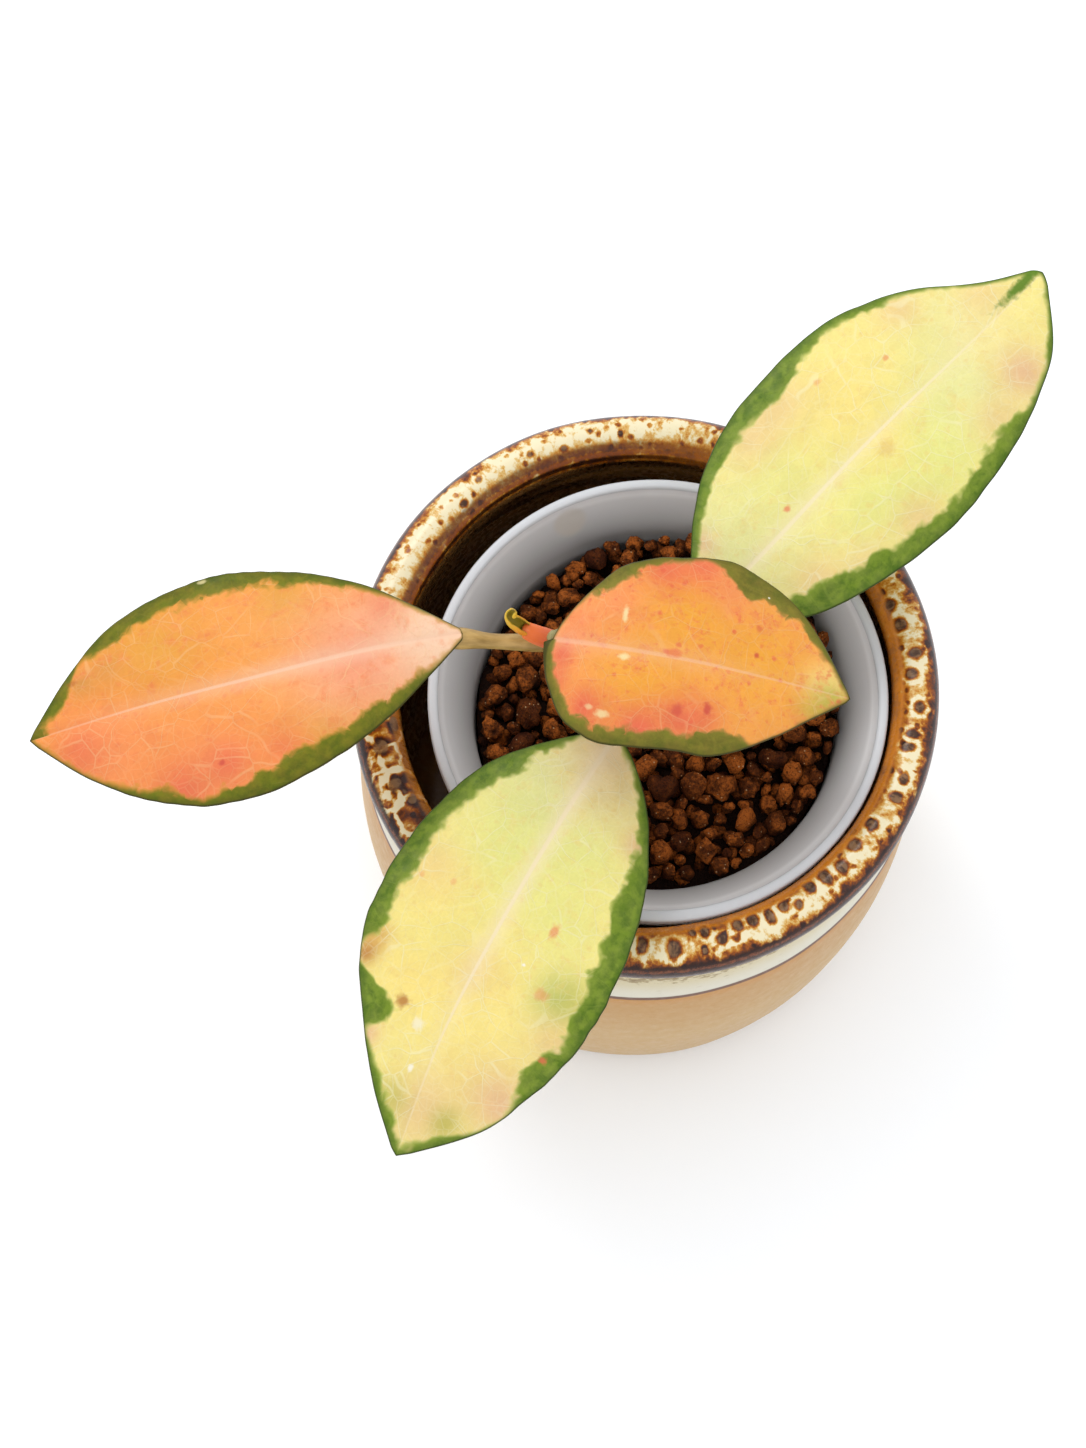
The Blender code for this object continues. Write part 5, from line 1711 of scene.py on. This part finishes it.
@dataclass(frozen=True)
class YoungShoot:
    """The red-orange sheath at the upper node and the curled yellow leaf at its end."""

    sheath_path: tuple = ((-0.0176, -0.0011, 0.1322), (-0.0200, -0.0011, 0.1335),
                          (-0.0222, -0.0008, 0.1348), (-0.0241, -0.0004, 0.1361))
    sheath_radii: tuple[float, ...] = (0.0018, 0.0020, 0.0019, 0.0016)
    sheath_squash: tuple[float, float] = (0.50, 0.45)
    cap_path: tuple = ((-0.0172, -0.0010, 0.1322), (-0.0180, -0.0011, 0.1332),
                       (-0.0189, -0.0013, 0.1341), (-0.0195, -0.0013, 0.1345))
    cap_radii: tuple[float, ...] = (0.0014, 0.0017, 0.0015, 0.0008)
    curl_path: tuple = ((-0.0236, -0.0004, 0.1360), (-0.0249, -0.0001, 0.1376),
                        (-0.0261, 0.0003, 0.1392), (-0.0264, 0.0008, 0.1404),
                        (-0.0259, 0.0013, 0.1411))
    curl_radii: tuple[float, ...] = (0.0014, 0.0015, 0.0014, 0.0012, 0.0008)
    curl_wall: float = 0.00035
    curl_open: tuple[float, float] = (140.0, 400.0)
    curl_columns: int = 25

    def build(self) -> None:
        """Sweep the flattened sheath and the node's cap, then a trough for the curled leaf."""
        pale = tone(252, 150, 104)
        red = YoungTissue("red_young_skin", tone(246, 124, 84), tone(250, 122, 54), pale, pale)
        self.strap("shoot_sheath", self.sheath_path, self.sheath_radii, self.sheath_squash,
                   red, "shoot_red", "shoot_stem")
        moss = tone(150, 146, 84)
        cap = YoungTissue("node_cap_skin", moss, tone(172, 164, 110), tone(126, 118, 60), moss)
        self.strap("node_cap", self.cap_path, self.cap_radii, (0.8, 0.8), cap, "stem", "stem")
        self.build_curl()

    def strap(self, name: str, knots: tuple, radii: tuple[float, ...], squash: tuple[float, float],
              skin: YoungTissue, slot: str, node: str) -> None:
        """Sweep a flattened tube with a rounded end through the knots."""
        path, at = resample(np.array(knots), 60)
        share = at / at[-1]
        radius = evenly(radii, share) * round_end((1 - share) / 0.10, 0.2)
        mesh = tube_mesh(name, path, radius, UP, 28, evenly(squash, share))
        add_piece(mesh, skin.build(), slot, node)

    def build_curl(self) -> None:
        """Sweep an open arc with a wall along the curled leaf, whose fold faces up."""
        path, at = resample(np.array(self.curl_path), 60)
        share = at / at[-1]
        radius = evenly(self.curl_radii, share)
        _, side, up = path_frame(path, UP)
        arc = np.radians(np.linspace(*self.curl_open, self.curl_columns))
        turn = np.concatenate([arc, arc[::-1]])
        inside = np.repeat([0.0, 1.0], len(arc))
        reach = np.maximum(radius[:, None] - self.curl_wall * inside, 0.0002)
        across, rise = reach * np.cos(turn), reach * np.sin(turn)
        rings = swept(path, side, up, across, rise)
        data = {
            "run": stacked(at[:, None] / MM, across / MM, rise / MM),
            "along": share[:, None],
            "inside": inside,
        }
        poles = (rings[0].mean(0)[None], rings[-1].mean(0)[None])
        mesh = closed_mesh("shoot_curl", rings, poles, data)
        yellow = YoungTissue("yellow_young_skin", tone(244, 150, 34), tone(240, 196, 58),
                             tone(250, 214, 96), tone(176, 156, 50))
        add_piece(mesh, yellow.build(), "shoot_yellow", "shoot_leaf")


# ---- Studio


@dataclass(frozen=True)
class Studio:
    """A white floor, a bright even sky and one large soft lamp from the upper left."""

    floor_half: float = 4.0
    floor_shade: Shade = (0.905, 0.935, 0.975, 1.0)  # a little cool, against the pot's warm light
    sky_strength: float = 1.24
    lamp_place: tuple[float, float, float] = (-0.55, 0.75, 1.30)
    lamp_size: float = 0.6
    lamp_power: float = 7.5
    aim: tuple[float, float, float] = (0.0, 0.0, 0.06)

    def build(self) -> None:
        """Lay the floor, light the sky and hang the lamp."""
        half = self.floor_half
        corners = [(-half, -half, 0), (half, -half, 0), (half, half, 0), (-half, half, 0)]
        mesh = plain_mesh("studio_floor", corners, [(0, 1, 2, 3)])
        paper = Finish("white_paper", 0.9)
        mesh.materials.append(paper.done(self.floor_shade, Specular_IOR_Level=0.1))
        new_object("studio_floor", mesh)
        world = bpy.data.worlds.new("studio_sky")
        bpy.context.scene.world = world
        world.use_nodes = True
        sky = world.node_tree.nodes["Background"]
        sky.inputs["Color"].default_value = (1.0, 1.0, 1.0, 1.0)
        sky.inputs["Strength"].default_value = self.sky_strength
        light = bpy.data.lights.new("studio_softbox", "AREA")
        light.shape = "DISK"
        light.size = self.lamp_size
        light.energy = self.lamp_power
        place = np.array(self.lamp_place)
        back = unit(place - np.array(self.aim))
        right = unit(np.cross(UP, back))
        lamp = new_object("studio_softbox", light)
        lamp.matrix_world = standing(place, right, np.cross(back, right), back)
        bpy.context.scene.view_settings.view_transform = "Standard"


@dataclass(frozen=True)
class PhotoCamera:
    """The photograph's camera, worked out from the rim's ellipse and the leaves' outlines."""

    focal: float = 3200.0  # in pixels of the frame's height
    frame_height: float = 1448.0
    sensor: float = 36.0
    tilt: float = math.radians(73.17)
    roll: float = math.radians(1.99)
    distance: float = 0.6263
    aim_across: float = 0.1022 / 3200.0 * 626.3  # the aim's shift, scaled by distance over focal
    aim_up: float = 0.0342 / 3200.0 * 626.3
    aim_height: float = 0.1

    def build(self) -> None:
        """Place the camera: back along its view from the aim point, shifted in its own plane."""
        ahead = np.array([0, math.cos(self.tilt), -math.sin(self.tilt)])
        level, rise = np.array([1.0, 0, 0]), np.array([0, math.sin(self.tilt), math.cos(self.tilt)])
        right = math.cos(self.roll) * level + math.sin(self.roll) * rise
        up = -math.sin(self.roll) * level + math.cos(self.roll) * rise
        place = -self.aim_across * right - self.aim_up * up - self.distance * ahead
        place = place + np.array([0, 0, self.aim_height])
        data = bpy.data.cameras.new("photo_camera")
        data.sensor_width = self.sensor
        data.lens = self.focal / self.frame_height * self.sensor
        data.clip_start = 0.01
        camera = new_object("photo_camera", data)
        camera.matrix_world = standing(place, right, up, -ahead)
        bpy.context.scene.camera = camera


def clear_start_objects() -> None:
    """Remove the objects that a new file starts with."""
    for thing in list(bpy.data.objects):
        bpy.data.objects.remove(thing)


def main() -> None:
    """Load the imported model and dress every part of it."""
    logging.basicConfig(level=logging.INFO, format="%(name)s: %(message)s")
    clear_start_objects()
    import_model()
    PhotoCamera().build()
    Studio().build()
    GlazedCachepot().build()
    pot = NurseryPot()
    pot.build()
    GranuleBed(pot=pot).build()
    HoyaStem().build()
    for leaf in (leaf_left(), leaf_centre(), leaf_back(), leaf_front()):
        leaf.build()
    YoungShoot().build()


if __name__ == "__main__":
    main()
